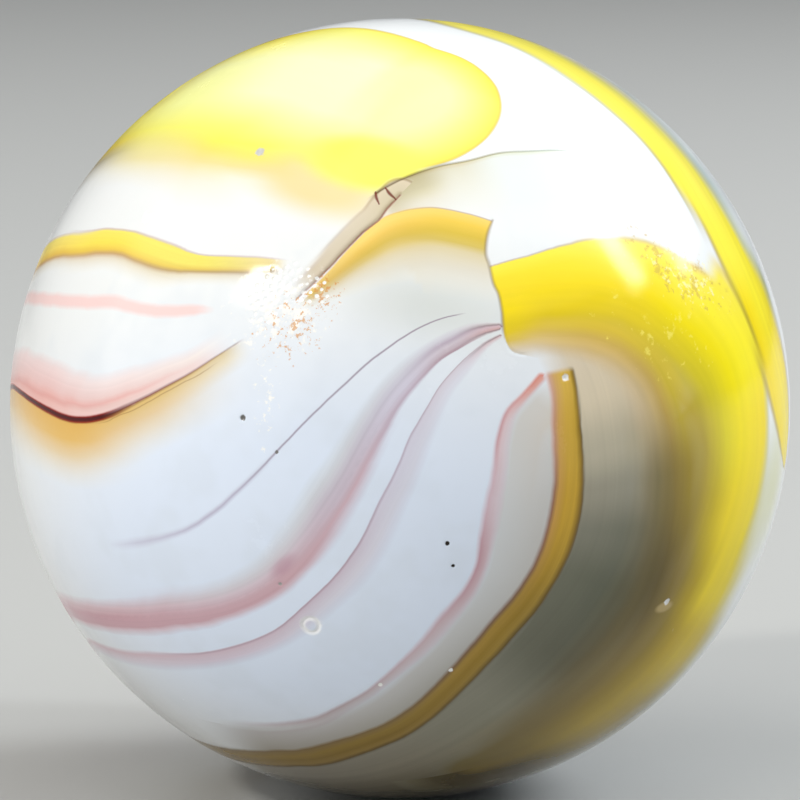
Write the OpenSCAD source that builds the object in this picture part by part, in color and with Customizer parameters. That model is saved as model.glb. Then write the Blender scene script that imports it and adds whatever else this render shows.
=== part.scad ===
// Glass marble: one fused ball of opaque white glass, with streams of coloured
// glass swirled through its skin from a sheared fold on the face to a second
// one at the rear, and the pits of a ball that has been played with.
//
// The origin is the ball's centre and +Z is up. The patterned face looks along
// -Y, tipped back a little. Places on the skin are in degrees from the middle of
// the face, as [across, up], read on face() from the front and on rear() from
// behind. A stream's station is [across, up, half width], all in degrees.

/* [Ball] */
// Diameter across the white glass
ball_d = 16; // [12:0.5:25]
// How far the patterned face is tipped back from upright, in degrees
face_tilt = 8.5; // [0:0.5:30]

/* [Colour streams] */
// How far a stream of coloured glass stands proud of the white glass
stream_proud = 0.03; // [0.02:0.01:0.08]
// Width of every stream against the width that it is drawn with
stream_spread = 1; // [0.7:0.05:1.15]

/* [Fold and shear marks] */
// Width of the crease where the hot glass folded over itself
crease_w = 0.2; // [0.1:0.02:0.3]
// Depth of that crease below the white glass
crease_deep = 0.06; // [0.03:0.01:0.1]
// Width of the fine shear mark that cuts the streams off
shear_w = 0.12; // [0.06:0.02:0.2]
// Depth of the shear mark
shear_deep = 0.03; // [0.02:0.01:0.06]

/* [Pits] */
// Width of a pit at the skin
pit_w = 0.22; // [0.12:0.02:0.4]
// Depth of a pit
pit_deep = 0.05; // [0.03:0.01:0.1]
// Width of a pin-prick at the skin
prick_w = 0.12; // [0.08:0.01:0.2]
// Depth of a pin-prick
prick_deep = 0.03; // [0.02:0.01:0.05]
// Pin-pricks in the scuffed patch beside the fold
scuff_count = 16; // [6:1:24]
// Reach of the scuffed patch from its middle
scuff_reach = 0.85; // [0.5:0.05:1.2]
// Diameter of the burst blister, measured round the middle of its ring
blister_d = 0.34; // [0.24:0.02:0.6]
// Width of the blister's ring-shaped hollow
blister_ring_w = 0.1; // [0.06:0.01:0.14]

/* [Hidden] */

$fn = 72;
// Facets round the small tools that cut creases and pits
tool_fn = 24;
ball_r = ball_d / 2;
skin_r = ball_r + stream_proud;
// How the round surface is turned: each of its two poles lies under a stream
ball_turn = [0, -33, 85];
// A stream's walls run from inside the ball to well beyond it, so that the flat
// outer wall of even the widest stream clears the skin
root_r = 0.85 * ball_r;
reach_r = 1.4 * ball_r;
// Steps that a stream takes from one of its stations to the next
stream_steps = 2;

white_glass = [0.93, 0.94, 0.95];
yellow_glass = [0.96, 0.84, 0.10];
amber_glass = [0.90, 0.66, 0.20];
ochre_glass = [0.62, 0.45, 0.12];
rose_glass = [0.83, 0.66, 0.69];
salmon_glass = [0.93, 0.76, 0.73];
oxblood_glass = [0.36, 0.08, 0.08];

// ---- places on the skin ---------------------------------------------------

out_dir = [0, -cos(face_tilt), sin(face_tilt)];
up_dir = [0, sin(face_tilt), cos(face_tilt)];
right_dir = [1, 0, 0];

function unit(v) = v / norm(v);
function bearing(p, out, right) =
    let (far = norm([p[0], p[1]]))
    far == 0 ? out : cos(far) * out + sin(far) / far * (p[0] * right + p[1] * up_dir);
function face(p) = bearing(p, out_dir, right_dir);
function rear(p) = bearing(p, -out_dir, -right_dir);
function on_face(stations) = [for (s = stations) [face(s), s[2]]];
function on_rear(stations) = [for (s = stations) [rear(s), s[2]]];

// ---- streams that follow a smooth path over the ball ------------------------

function curve(p0, p1, p2, p3, t) = 0.5 * (2 * p1 + (p2 - p0) * t
    + (2 * p0 - 5 * p1 + 4 * p2 - p3) * t ^ 2
    + (3 * p1 - p0 - 3 * p2 + p3) * t ^ 3);
function stop_at(path, i) = path[min(max(i, 0), len(path) - 1)][0];
function smooth(path) = concat(
    [for (i = [0 : len(path) - 2], s = [0 : stream_steps - 1])
        let (t = s / stream_steps)
        [unit(curve(stop_at(path, i - 1), stop_at(path, i),
                    stop_at(path, i + 1), stop_at(path, i + 2), t)),
         (1 - t) * path[i][1] + t * path[i + 1][1]]],
    [path[len(path) - 1]]);

// The four corners of a stream's section, on two rays from the ball's centre
function section(mid, ahead, half) =
    let (side = unit(cross(mid, ahead)),
         left = cos(half) * mid + sin(half) * side,
         right = cos(half) * mid - sin(half) * side)
    [root_r * left, root_r * right, reach_r * right, reach_r * left];

module wedge(path) {
    line = smooth(path);
    last = len(line) - 1;
    corners = [for (i = [0 : last])
        each section(line[i][0],
            line[min(i + 1, last)][0] - line[max(i - 1, 0)][0],
            line[i][1] * stream_spread)];
    walls = [for (i = [0 : last - 1], k = [0 : 3])
        let (n = (k + 1) % 4)
        [4 * i + k, 4 * i + n, 4 * i + 4 + n, 4 * i + 4 + k]];
    ends = [[3, 2, 1, 0], [for (k = [0 : 3]) 4 * last + k]];
    polyhedron(corners, concat(walls, ends));
}

module stream(glass, path)
    color(glass) intersection() {
        sphere(r = skin_r);
        wedge(path);
    }

module yellow_tongue()
    stream(yellow_glass, concat(
        on_face([[15.8, 46.5, 4], [12, 48, 10], [5, 50.5, 14.8], [-3, 52.5, 17.5],
            [-12, 56, 17.5], [-22, 60, 16.5], [-32, 63, 15], [-42, 66, 14]]),
        on_rear([[54, 74, 13], [42, 62, 12], [28, 51, 10], [12, 42, 8], [-2, 32, 5],
            [-8, 22, 2.5]])));

module left_ribbon()
    stream(yellow_glass, concat(
        on_face([[-16, 20.3, 0.7], [-20, 20.5, 1.1], [-25, 20.9, 1.2], [-30, 21.5, 1.3],
            [-35, 22.9, 1.9], [-40, 24.9, 2], [-45, 26.9, 1.9], [-50, 28, 2.2],
            [-57, 29, 2.6], [-65, 30.7, 3.2], [-78, 32, 3.5]]),
        on_rear([[84, 33, 3.6], [68, 29, 3.4], [50, 23, 3], [34, 14, 2.4], [20, 4, 1.6],
            [12, -3, 0.8]])));

module pink_thread()
    stream(salmon_glass, concat(
        on_face([[-27, 14.2, 0.4], [-30, 14.3, 0.7], [-35, 14.4, 0.8], [-40, 15.3, 0.8],
            [-45, 16.7, 0.9], [-50, 17.3, 0.9], [-55, 18, 0.9], [-62, 19.3, 0.9],
            [-70, 21.2, 0.9]]),
        on_rear([[88, 24, 0.9], [70, 19, 0.9], [48, 11, 0.8], [32, 1, 0.6]])));

module salmon_field()
    stream(salmon_glass, concat(
        on_face([[-25, 9.6, 1.2], [-30, 6.6, 1.4], [-35, 4.9, 1.9], [-40, 3.2, 2.4],
            [-45, 1.9, 2.7], [-50, 1.6, 3.1], [-55, 2.2, 3.5], [-60, 3.4, 3.7],
            [-66, 4.7, 3.6], [-73, 6.6, 3.4]]),
        on_rear([[88, 10, 3], [70, 5, 2.4], [52, -2, 1.6]])));

module oxblood_line()
    stream(oxblood_glass, concat(
        on_face([[-22, 9.7, 0.2], [-26, 7.4, 0.25], [-30, 5.1, 0.3], [-35, 2.8, 0.35],
            [-40, 0.7, 0.45], [-45, -1, 0.5], [-50, -1.8, 0.5], [-55, -1.5, 0.5],
            [-60, -0.3, 0.5], [-66, 1.4, 0.45], [-72, 3.1, 0.4], [-80, 4.6, 0.4]]),
        on_rear([[88, 5, 0.5], [72, 1, 0.7], [55, -5, 0.8], [38, -10, 0.7], [22, -13, 0.5],
            [10, -14, 0.3]])));

module amber_hook()
    stream(amber_glass, on_face([[-12.2, 15.6, 0.7], [-9, 18, 1.4], [-5, 21.8, 2],
        [-1, 25, 2.4], [4, 26.2, 2.5], [9, 25.5, 2.5], [12.7, 24.6, 2.4]]));

module yellow_crescent()
    stream(yellow_glass, on_face([[13.8, 15, 5], [20, 16.5, 5.5], [28, 17.5, 7],
        [36, 16.5, 9], [44, 12, 11], [51, 6, 10.5], [54.5, -3, 9], [55, -12, 8.5],
        [53.5, -20, 8], [51.5, -27, 7.5], [48.5, -34, 7.5], [44, -42, 8], [38, -49, 8.5],
        [31, -55, 8.5], [23, -60, 7], [14, -64, 4]]));

module outer_ribbon()
    stream(yellow_glass, concat(
        on_rear([[-14, 4, 1], [-24, 14, 3], [-28, 30, 4.5], [-24, 48, 5.5], [-19, 66, 5.5],
            [-16, 84, 5]]),
        on_face([[15, 80, 4.8], [24, 73.5, 4.4], [30, 68, 4], [36, 62, 3.8], [41.5, 56, 3.6],
            [46, 50.5, 3.5], [50, 44.5, 3.6], [53.2, 38.5, 3.8], [55.7, 33, 4],
            [58.5, 27, 4.4], [62, 20.5, 4.6], [65.5, 14, 4.4], [69, 8, 4.1],
            [72.5, 1.5, 3.6], [76, -5, 2.6], [78.5, -10, 1.2]])));

module grey_thread()
    stream(rose_glass, on_face([[9, 13.1, 0.2], [5, 12.1, 0.25], [1, 10, 0.3],
        [-3.5, 6.9, 0.35], [-7.5, 3.3, 0.35], [-11.6, -0.5, 0.35], [-15.5, -4.4, 0.35],
        [-19.2, -8.2, 0.4], [-22, -10.8, 0.4], [-25, -13.5, 0.4], [-29.5, -16.8, 0.4],
        [-34.5, -19, 0.4], [-40, -20.6, 0.5], [-46, -21.8, 0.5]]));

module rose_ribbon()
    stream(rose_glass, concat(
        on_face([[13.6, 11.1, 0.5], [10, 10.1, 0.9], [5, 7.3, 1.1], [1.4, 4, 1.4],
            [-1.4, 0.5, 1.6], [-3.8, -3.6, 1.8], [-6.8, -9.3, 2], [-9.5, -13.8, 2.3],
            [-13, -18.8, 2.2], [-17, -23.6, 2.1], [-22, -27.2, 2], [-26.5, -29.4, 2],
            [-31, -31, 2.2], [-36, -32.4, 2.3], [-42, -34.2, 2.3], [-48, -35.7, 2.2],
            [-54, -37.1, 2.1], [-61, -38.8, 2], [-69, -41, 2]]),
        on_rear([[84, -48, 2.2], [68, -43, 2.4], [52, -37, 2.5], [36, -31, 2.3],
            [20, -25, 1.8], [6, -19, 1]])));

module rose_thread()
    stream(rose_glass, concat(
        on_face([[13.8, 9.9, 0.3], [11.5, 8.4, 0.5], [8.5, 5.4, 0.8], [6, 2.4, 0.9],
            [4.3, -0.6, 1], [2.3, -4.5, 1.2], [0.5, -9, 1.3], [-1.7, -13.5, 1.4],
            [-3.8, -18, 1.4], [-6.2, -22, 1.4], [-9.5, -25.9, 1.3], [-13.6, -30, 1.2],
            [-17.5, -33.4, 1.1], [-21.5, -35.9, 1.1], [-26, -38, 1.1], [-31, -39.9, 1.1],
            [-36, -41.3, 1.2], [-41, -42.6, 1.3], [-47, -44.2, 1.2], [-54, -45.8, 1.1],
            [-62, -47.8, 1.1]]),
        on_rear([[76, -57, 1.3], [62, -52, 1.5], [46, -47, 1.6], [29, -42, 1.5],
            [12, -38, 1.2], [-3, -31, 0.7]])));

module low_thread()
    stream(rose_glass, on_face([[19.6, 4.2, 0.7], [17.2, 1.6, 0.6], [15.2, -0.8, 0.7],
        [14.1, -4.5, 0.8], [13.6, -9, 0.9], [12.8, -13.5, 1.1], [12.1, -18, 1],
        [11.4, -22.2, 0.8], [9.6, -26.2, 0.9], [6.4, -30.6, 1.1], [3, -35.2, 1],
        [-0.5, -39, 0.8], [-4.5, -43.3, 0.7], [-9, -47, 0.8], [-14, -50.7, 1.1],
        [-19.5, -53, 1.5], [-25, -54.4, 1.8], [-31, -55.5, 1.8]]));

module ochre_ribbon()
    stream(ochre_glass, concat(
        on_face([[23, 5, 2], [23.5, 2, 1.9], [23.6, -2, 2], [23.9, -6, 2.1],
            [24, -10, 2.1], [23.7, -14.5, 2.2], [22.6, -19.5, 2.2], [20.9, -24, 2.1],
            [18.2, -28.6, 2.2], [14.8, -33, 2.2], [10.2, -39.2, 2], [5, -45.9, 1.9],
            [0, -51.2, 2], [-5, -54.6, 2.1], [-10, -57.8, 2.3], [-15, -61, 2.4],
            [-20, -63, 2.4], [-26, -65.6, 2.4], [-34, -69, 2.3], [-42, -72.5, 2.3]]),
        on_rear([[44, -80, 2.6], [34, -69, 3], [20, -60, 3.2], [4, -53, 3], [-10, -44, 2.6],
            [-20, -32, 2], [-24, -19, 1.2]])));

module streams() {
    yellow_tongue();
    left_ribbon();
    pink_thread();
    salmon_field();
    oxblood_line();
    amber_hook();
    yellow_crescent();
    outer_ribbon();
    grey_thread();
    rose_ribbon();
    rose_thread();
    low_thread();
    ochre_ribbon();
}

// ---- marks cut into the skin ----------------------------------------------

// Radius of the round tool that leaves a hollow of this width and depth
function tool_r(w, deep) = ((w / 2) ^ 2 + deep ^ 2) / (2 * deep);

// Cuts a round-bottomed crease along the arc through three places on the skin
module crease(from, through, to, w, deep) {
    tool = tool_r(w, deep);
    path_r = ball_r + tool - deep;
    a = path_r * from;
    b = path_r * through;
    c = path_r * to;
    axis = unit(cross(b - a, c - a));
    hub = axis * (axis * a);
    along = unit(a - hub);
    across = cross(axis, along);
    turn = atan2((c - hub) * across, (c - hub) * along);
    frame = [for (k = [0 : 2]) [along[k], across[k], axis[k], hub[k]]];
    multmatrix(concat(frame, [[0, 0, 0, 1]]))
        rotate_extrude(angle = turn < 0 ? turn + 360 : turn)
            translate([norm(a - hub), 0])
                circle(r = tool, $fn = tool_fn);
}

// Puts its children on the skin, with +Z pointing out of the ball
module on_skin(place)
    rotate([0, acos(place[2]), atan2(place[1], place[0])])
        translate([0, 0, ball_r])
            children();

module hollow(place, w, deep)
    on_skin(place)
        translate([0, 0, tool_r(w, deep) - deep])
            sphere(r = tool_r(w, deep), $fn = tool_fn);

// The fold on the face runs up beside the amber hook and turns along the tongue
module face_fold() {
    crease(face([-12.2, 17.2]), face([-5, 24.7]), face([-0.6, 30.2]), crease_w, crease_deep);
    crease(face([-3, 31.5]), face([5, 35.4]), face([15, 38.7]), crease_w, crease_deep);
}

// The shear that cut the hook and the crescent off from each other
module face_shear() {
    crease(face([13.4, 26.9]), face([12.2, 23.2]), face([12.4, 20]), shear_w, shear_deep);
    crease(face([12.4, 19.8]), face([13.9, 15]), face([14.6, 9]), shear_w, shear_deep);
}

// The other end of the gob, where the streams run together again
module rear_fold()
    crease(rear([3, 13]), rear([-7, 3]), rear([-4, -14]), crease_w, crease_deep);

module pits() {
    for (p = [[-21.9, -1.3], [-21.6, 39.6], [23.2, 4.3]])
        hollow(face(p), pit_w, pit_deep);
    for (p = [[6.6, -18.7], [7.4, -22], [-17, -6], [-17.2, -25.2], [7.6, -39.2],
              [-3, -41.8], [43.5, -31.5]])
        hollow(face(p), prick_w, prick_deep);
    for (p = [[35, 22], [-48, 12], [-10, -34]])
        hollow(rear(p), pit_w, pit_deep);
}

// Pin-pricks packed in a sunflower spiral over the scuffed patch
module scuff() {
    middle = [-15.5, 14.5];
    golden_turn = 137.508;
    reach = scuff_reach / ball_r * 180 / PI;
    for (i = [0 : scuff_count - 1]) {
        far = reach * sqrt((i + 0.5) / scuff_count);
        hollow(face(middle + far * [cos(i * golden_turn), sin(i * golden_turn)]),
            prick_w, prick_deep);
    }
}

module blister()
    on_skin(face([-13, -31.6]))
        rotate_extrude()
            translate([blister_d / 2, 0])
                circle(r = blister_ring_w / 2, $fn = tool_fn);

module marks() {
    face_fold();
    face_shear();
    rear_fold();
    pits();
    scuff();
    blister();
}

module marble()
    difference() {
        union() {
            color(white_glass) rotate(ball_turn) sphere(r = ball_r);
            streams();
        }
        color(white_glass) marks();
    }

marble();
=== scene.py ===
"""Dresses a glass marble: one ball of white glass with streams of coloured glass swirled through its skin.

Places on the skin are in degrees from the middle of the patterned face, as (across, up): they are read on the
face from the front and on the rear from behind. Every other length is in metres, in the frame's own axes.
"""

import logging
import math
from dataclasses import dataclass, field
from enum import Enum
from typing import Any

import bmesh
import bpy
from mathutils import Euler, Matrix, Vector
from mathutils.kdtree import KDTree


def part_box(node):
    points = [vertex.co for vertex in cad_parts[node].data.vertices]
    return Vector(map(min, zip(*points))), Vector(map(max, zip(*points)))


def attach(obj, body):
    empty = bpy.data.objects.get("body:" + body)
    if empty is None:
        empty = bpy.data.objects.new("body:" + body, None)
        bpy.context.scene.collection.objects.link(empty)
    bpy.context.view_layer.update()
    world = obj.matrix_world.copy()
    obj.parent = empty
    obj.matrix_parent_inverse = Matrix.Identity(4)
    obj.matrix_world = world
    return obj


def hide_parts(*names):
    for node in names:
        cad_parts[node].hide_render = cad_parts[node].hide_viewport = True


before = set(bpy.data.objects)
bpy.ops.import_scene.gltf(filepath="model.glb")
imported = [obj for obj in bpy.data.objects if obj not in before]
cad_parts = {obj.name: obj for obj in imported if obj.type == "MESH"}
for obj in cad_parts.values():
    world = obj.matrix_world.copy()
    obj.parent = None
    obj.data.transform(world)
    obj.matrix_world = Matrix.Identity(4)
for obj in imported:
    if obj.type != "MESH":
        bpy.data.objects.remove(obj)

log = logging.getLogger("marble")

Rgb = tuple[int, int, int]
Place = tuple[float, float]
Station = tuple[float, float, float]
Band = tuple[float, Rgb] | tuple[float, Rgb, float]
Socket = bpy.types.NodeSocket

BALL_RADIUS = min(abs(side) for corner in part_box("marble") for side in corner)
DEGREE = BALL_RADIUS * math.pi / 180
FACE_TILT = math.radians(8.5)
OUT_DIR = Vector((0, -math.cos(FACE_TILT), math.sin(FACE_TILT)))
UP_DIR = Vector((0, math.sin(FACE_TILT), math.cos(FACE_TILT)))
RIGHT_DIR = Vector((1, 0, 0))

PIECE_NAME = "glass_ball"
RELIEF = "relief"
BAKE_MAP = "OFBake"
NOISE_MIDDLE = 0.5

WHITE: Rgb = (237, 239, 240)
MILK: Rgb = (227, 237, 254)
CREAM: Rgb = (237, 232, 216)
DOVE: Rgb = (207, 207, 205)
# Pale yellow: the tongue's own yellow whitened with painted highlight.
HIGHLIT_LEMON: Rgb = (238, 240, 194)
PEACH: Rgb = (235, 222, 158)
SUNFLOWER: Rgb = (254, 237, 74)
YELLOW: Rgb = (253, 226, 46)
BRASS: Rgb = (248, 220, 14)
CITRINE: Rgb = (228, 200, 38)
HONEY: Rgb = (246, 213, 114)
AMBER: Rgb = (228, 186, 108)
TAN: Rgb = (218, 186, 112)
SAND: Rgb = (222, 206, 174)
FAWN: Rgb = (210, 190, 160)
MOSS: Rgb = (186, 163, 62)
OLIVE: Rgb = (156, 134, 54)
BARK: Rgb = (114, 100, 64)
BRONZE: Rgb = (150, 124, 62)
RUSSET: Rgb = (148, 84, 52)
UMBER: Rgb = (84, 62, 40)
STONE: Rgb = (154, 151, 136)
ASH: Rgb = (124, 122, 108)
TEAL: Rgb = (148, 164, 146)
MAUVE: Rgb = (206, 198, 216)
ROSE: Rgb = (212, 176, 186)
DUSK: Rgb = (178, 140, 152)
PLUM: Rgb = (128, 100, 128)
PINK: Rgb = (243, 212, 210)
BLUSH: Rgb = (235, 212, 212)
SALMON: Rgb = (228, 172, 168)
CORAL: Rgb = (222, 132, 112)
MAROON: Rgb = (112, 50, 56)
OXBLOOD: Rgb = (72, 8, 14)


def bearing(place: Place, out: Vector, right: Vector) -> Vector:
    """Turns a place on one side of the ball into a direction from its centre.

    Args:
        place: Degrees across and up from that side's middle.
        out: Direction of the side's middle.
        right: Direction that counts as across.

    Returns:
        A unit vector.
    """
    far = math.hypot(*place)
    if far == 0:
        return out.copy()
    turn = math.radians(far)
    lean = (place[0] * right + place[1] * UP_DIR) * (math.sin(turn) / far)
    return out * math.cos(turn) + lean


def face(place: Place) -> Vector:
    """Direction of a place on the patterned face."""
    return bearing(place, OUT_DIR, RIGHT_DIR)


def rear(place: Place) -> Vector:
    """Direction of a place on the rear, read from behind."""
    return bearing(place, -OUT_DIR, -RIGHT_DIR)


def linear(colour: Rgb) -> tuple[float, float, float, float]:
    """A screen colour of 0 to 255 as the linear colour that a shader takes, by the sRGB curve."""
    shares = (part / 255 for part in colour)
    parts = [share / 12.92 if share <= 0.04045 else ((share + 0.055) / 1.055) ** 2.4 for share in shares]
    return (*parts, 1.0)


class Trail(Enum):
    """Every path over the skin, by the name of the attribute that holds a point's place beside it."""

    TONGUE = "yellow_tongue"
    LEFT_RIBBON = "left_ribbon"
    PINK_THREAD = "pink_thread"
    SALMON_FIELD = "salmon_field"
    OXBLOOD_LINE = "oxblood_line"
    HOOK = "amber_hook"
    CRESCENT = "yellow_crescent"
    OUTER_RIBBON = "outer_ribbon"
    GREY_THREAD = "grey_thread"
    ROSE_RIBBON = "rose_ribbon"
    ROSE_THREAD = "rose_thread"
    LOW_THREAD = "low_thread"
    OCHRE_RIBBON = "ochre_ribbon"
    SMOKE_AND_SHADE_FIELD = "smoke_field"
    FOLD = "fold"
    FOLD_TOP = "fold_top"
    SEAM = "seam"
    BRONZE_HAZE = "bronze_haze"
    LEFT_NICK = "left_nick"
    RIGHT_NICK = "right_nick"
    REAR_FOLD = "rear_fold"
    BLISTER = "blister"


class Across(Enum):
    """What a layer's bands are measured in."""

    HALF_WIDTHS = "half widths"
    DEGREES = "degrees"


class NodeDraft:
    """Adds nodes to a tree and wires them up, for shaders and geometry alike."""

    def __init__(self, tree: bpy.types.NodeTree) -> None:
        """Starts on a tree that holds no nodes yet."""
        self.tree = tree

    def add(self, kind: str, inputs: dict[Any, Any] | None = None, **settings: Any) -> bpy.types.Node:
        """Adds one node.

        Args:
            kind: Blender's name for the node type.
            inputs: Sockets to wire or set, by name or number.
            settings: Properties of the node itself.

        Returns:
            The new node.
        """
        node = self.tree.nodes.new(kind)
        for name, value in settings.items():
            setattr(node, name, value)
        for name, value in (inputs or {}).items():
            if isinstance(value, Socket):
                self.tree.links.new(value, node.inputs[name])
            else:
                node.inputs[name].default_value = value
        return node

    def math(self, operation: str, first: Any, second: Any = 0.0) -> Socket:
        """A sum of two numbers or sockets."""
        return self.add("ShaderNodeMath", {0: first, 1: second}, operation=operation).outputs[0]

    def times(self, first: Any, second: Any) -> Socket:
        """One number times another."""
        return self.math("MULTIPLY", first, second)

    def scaled_sum(self, value: Any, factor: Any, more: Any) -> Socket:
        """A value times a factor, plus more."""
        return self.add("ShaderNodeMath", {0: value, 1: factor, 2: more}, operation="MULTIPLY_ADD").outputs[0]

    def vector(self, operation: str, first: Any, second: Any = (0.0, 0.0, 0.0)) -> Socket:
        """A vector sum, which gives a number for a length or a dot product."""
        node = self.add("ShaderNodeVectorMath", {0: first, 1: second}, operation=operation)
        return node.outputs["Value" if operation in {"DOT_PRODUCT", "LENGTH", "DISTANCE"} else "Vector"]

    def scaled(self, vector: Socket, factor: Any) -> Socket:
        """A vector times a number."""
        wires = {0: vector, "Scale": factor}
        return self.add("ShaderNodeVectorMath", wires, operation="SCALE").outputs["Vector"]

    def hypot(self, first: Socket, second: Socket) -> Socket:
        """The length of two steps at right angles."""
        return self.vector("LENGTH", self.add("ShaderNodeCombineXYZ", {0: first, 1: second}).outputs[0])

    def eased(self, value: Socket, low: float, high: float, start: float = 0.0, end: float = 1.0) -> Socket:
        """Runs softly from start to end while a value goes from low to high."""
        wires = {"Value": value, "From Min": low, "From Max": high, "To Min": start, "To Max": end}
        return self.add("ShaderNodeMapRange", wires, interpolation_type="SMOOTHSTEP").outputs["Result"]

    def blend(self, share: Any, under: Any, over: Any) -> Socket:
        """Lays one colour over another by a share of 0 to 1."""
        return self.add("ShaderNodeMix", {0: share, 6: under, 7: over}, data_type="RGBA").outputs[2]

    def between(self, share: Socket, first: Socket, second: Socket) -> Socket:
        """A number that runs from the first to the second by a share of 0 to 1."""
        return self.add("ShaderNodeMix", {0: share, 2: first, 3: second}, data_type="FLOAT").outputs[0]

    def noise(self, vector: Socket, scale: float, detail: float, rough: float) -> Socket:
        """Smooth noise from 0 to 1."""
        wires = {"Vector": vector, "Scale": scale, "Detail": detail, "Roughness": rough}
        return self.add("ShaderNodeTexNoise", wires).outputs["Fac"]

    def wave(self, value: Socket, detail: float, rough: float = 0.5) -> Socket:
        """Smooth noise from 0 to 1 along one number."""
        wires = {"W": value, "Scale": 1.0, "Detail": detail, "Roughness": rough}
        return self.add("ShaderNodeTexNoise", wires, noise_dimensions="1D").outputs["Fac"]


# ---- paths over the skin -------------------------------------------------------------------------


@dataclass(frozen=True)
class SkinPath:
    """A smooth path over the ball, as stations of (across, up, half width) in degrees."""

    trail: Trail
    on_face: tuple[Station, ...] = ()
    on_rear: tuple[Station, ...] = ()
    rear_first: bool = False

    def stops(self) -> list[tuple[Vector, float]]:
        """Each station's place on the skin, with its half width in metres."""
        front = [(face((a, b)) * BALL_RADIUS, w * DEGREE) for a, b, w in self.on_face]
        back = [(rear((a, b)) * BALL_RADIUS, w * DEGREE) for a, b, w in self.on_rear]
        return back + front if self.rear_first else front + back

    def length(self) -> float:
        """The path's length in degrees."""
        spots = [spot for spot, _ in self.stops()]
        return sum(math.degrees(first.angle(second)) for first, second in zip(spots, spots[1:]))

    def draw(self) -> bpy.types.Object:
        """Draws the path as a curve whose radius is the path's half width."""
        stops = self.stops()
        curve = bpy.data.curves.new(self.trail.value, "CURVE")
        curve.dimensions = "3D"
        spline = curve.splines.new("POLY")
        spline.points.add(len(stops) - 1)
        for point, (spot, half) in zip(spline.points, stops):
            point.co = (*spot, 1.0)
            point.radius = half
        return put(bpy.data.objects.new(self.trail.value, curve))


def put(thing: bpy.types.Object) -> bpy.types.Object:
    """Puts an object in the scene and returns it."""
    bpy.context.scene.collection.objects.link(thing)
    return thing


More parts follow.
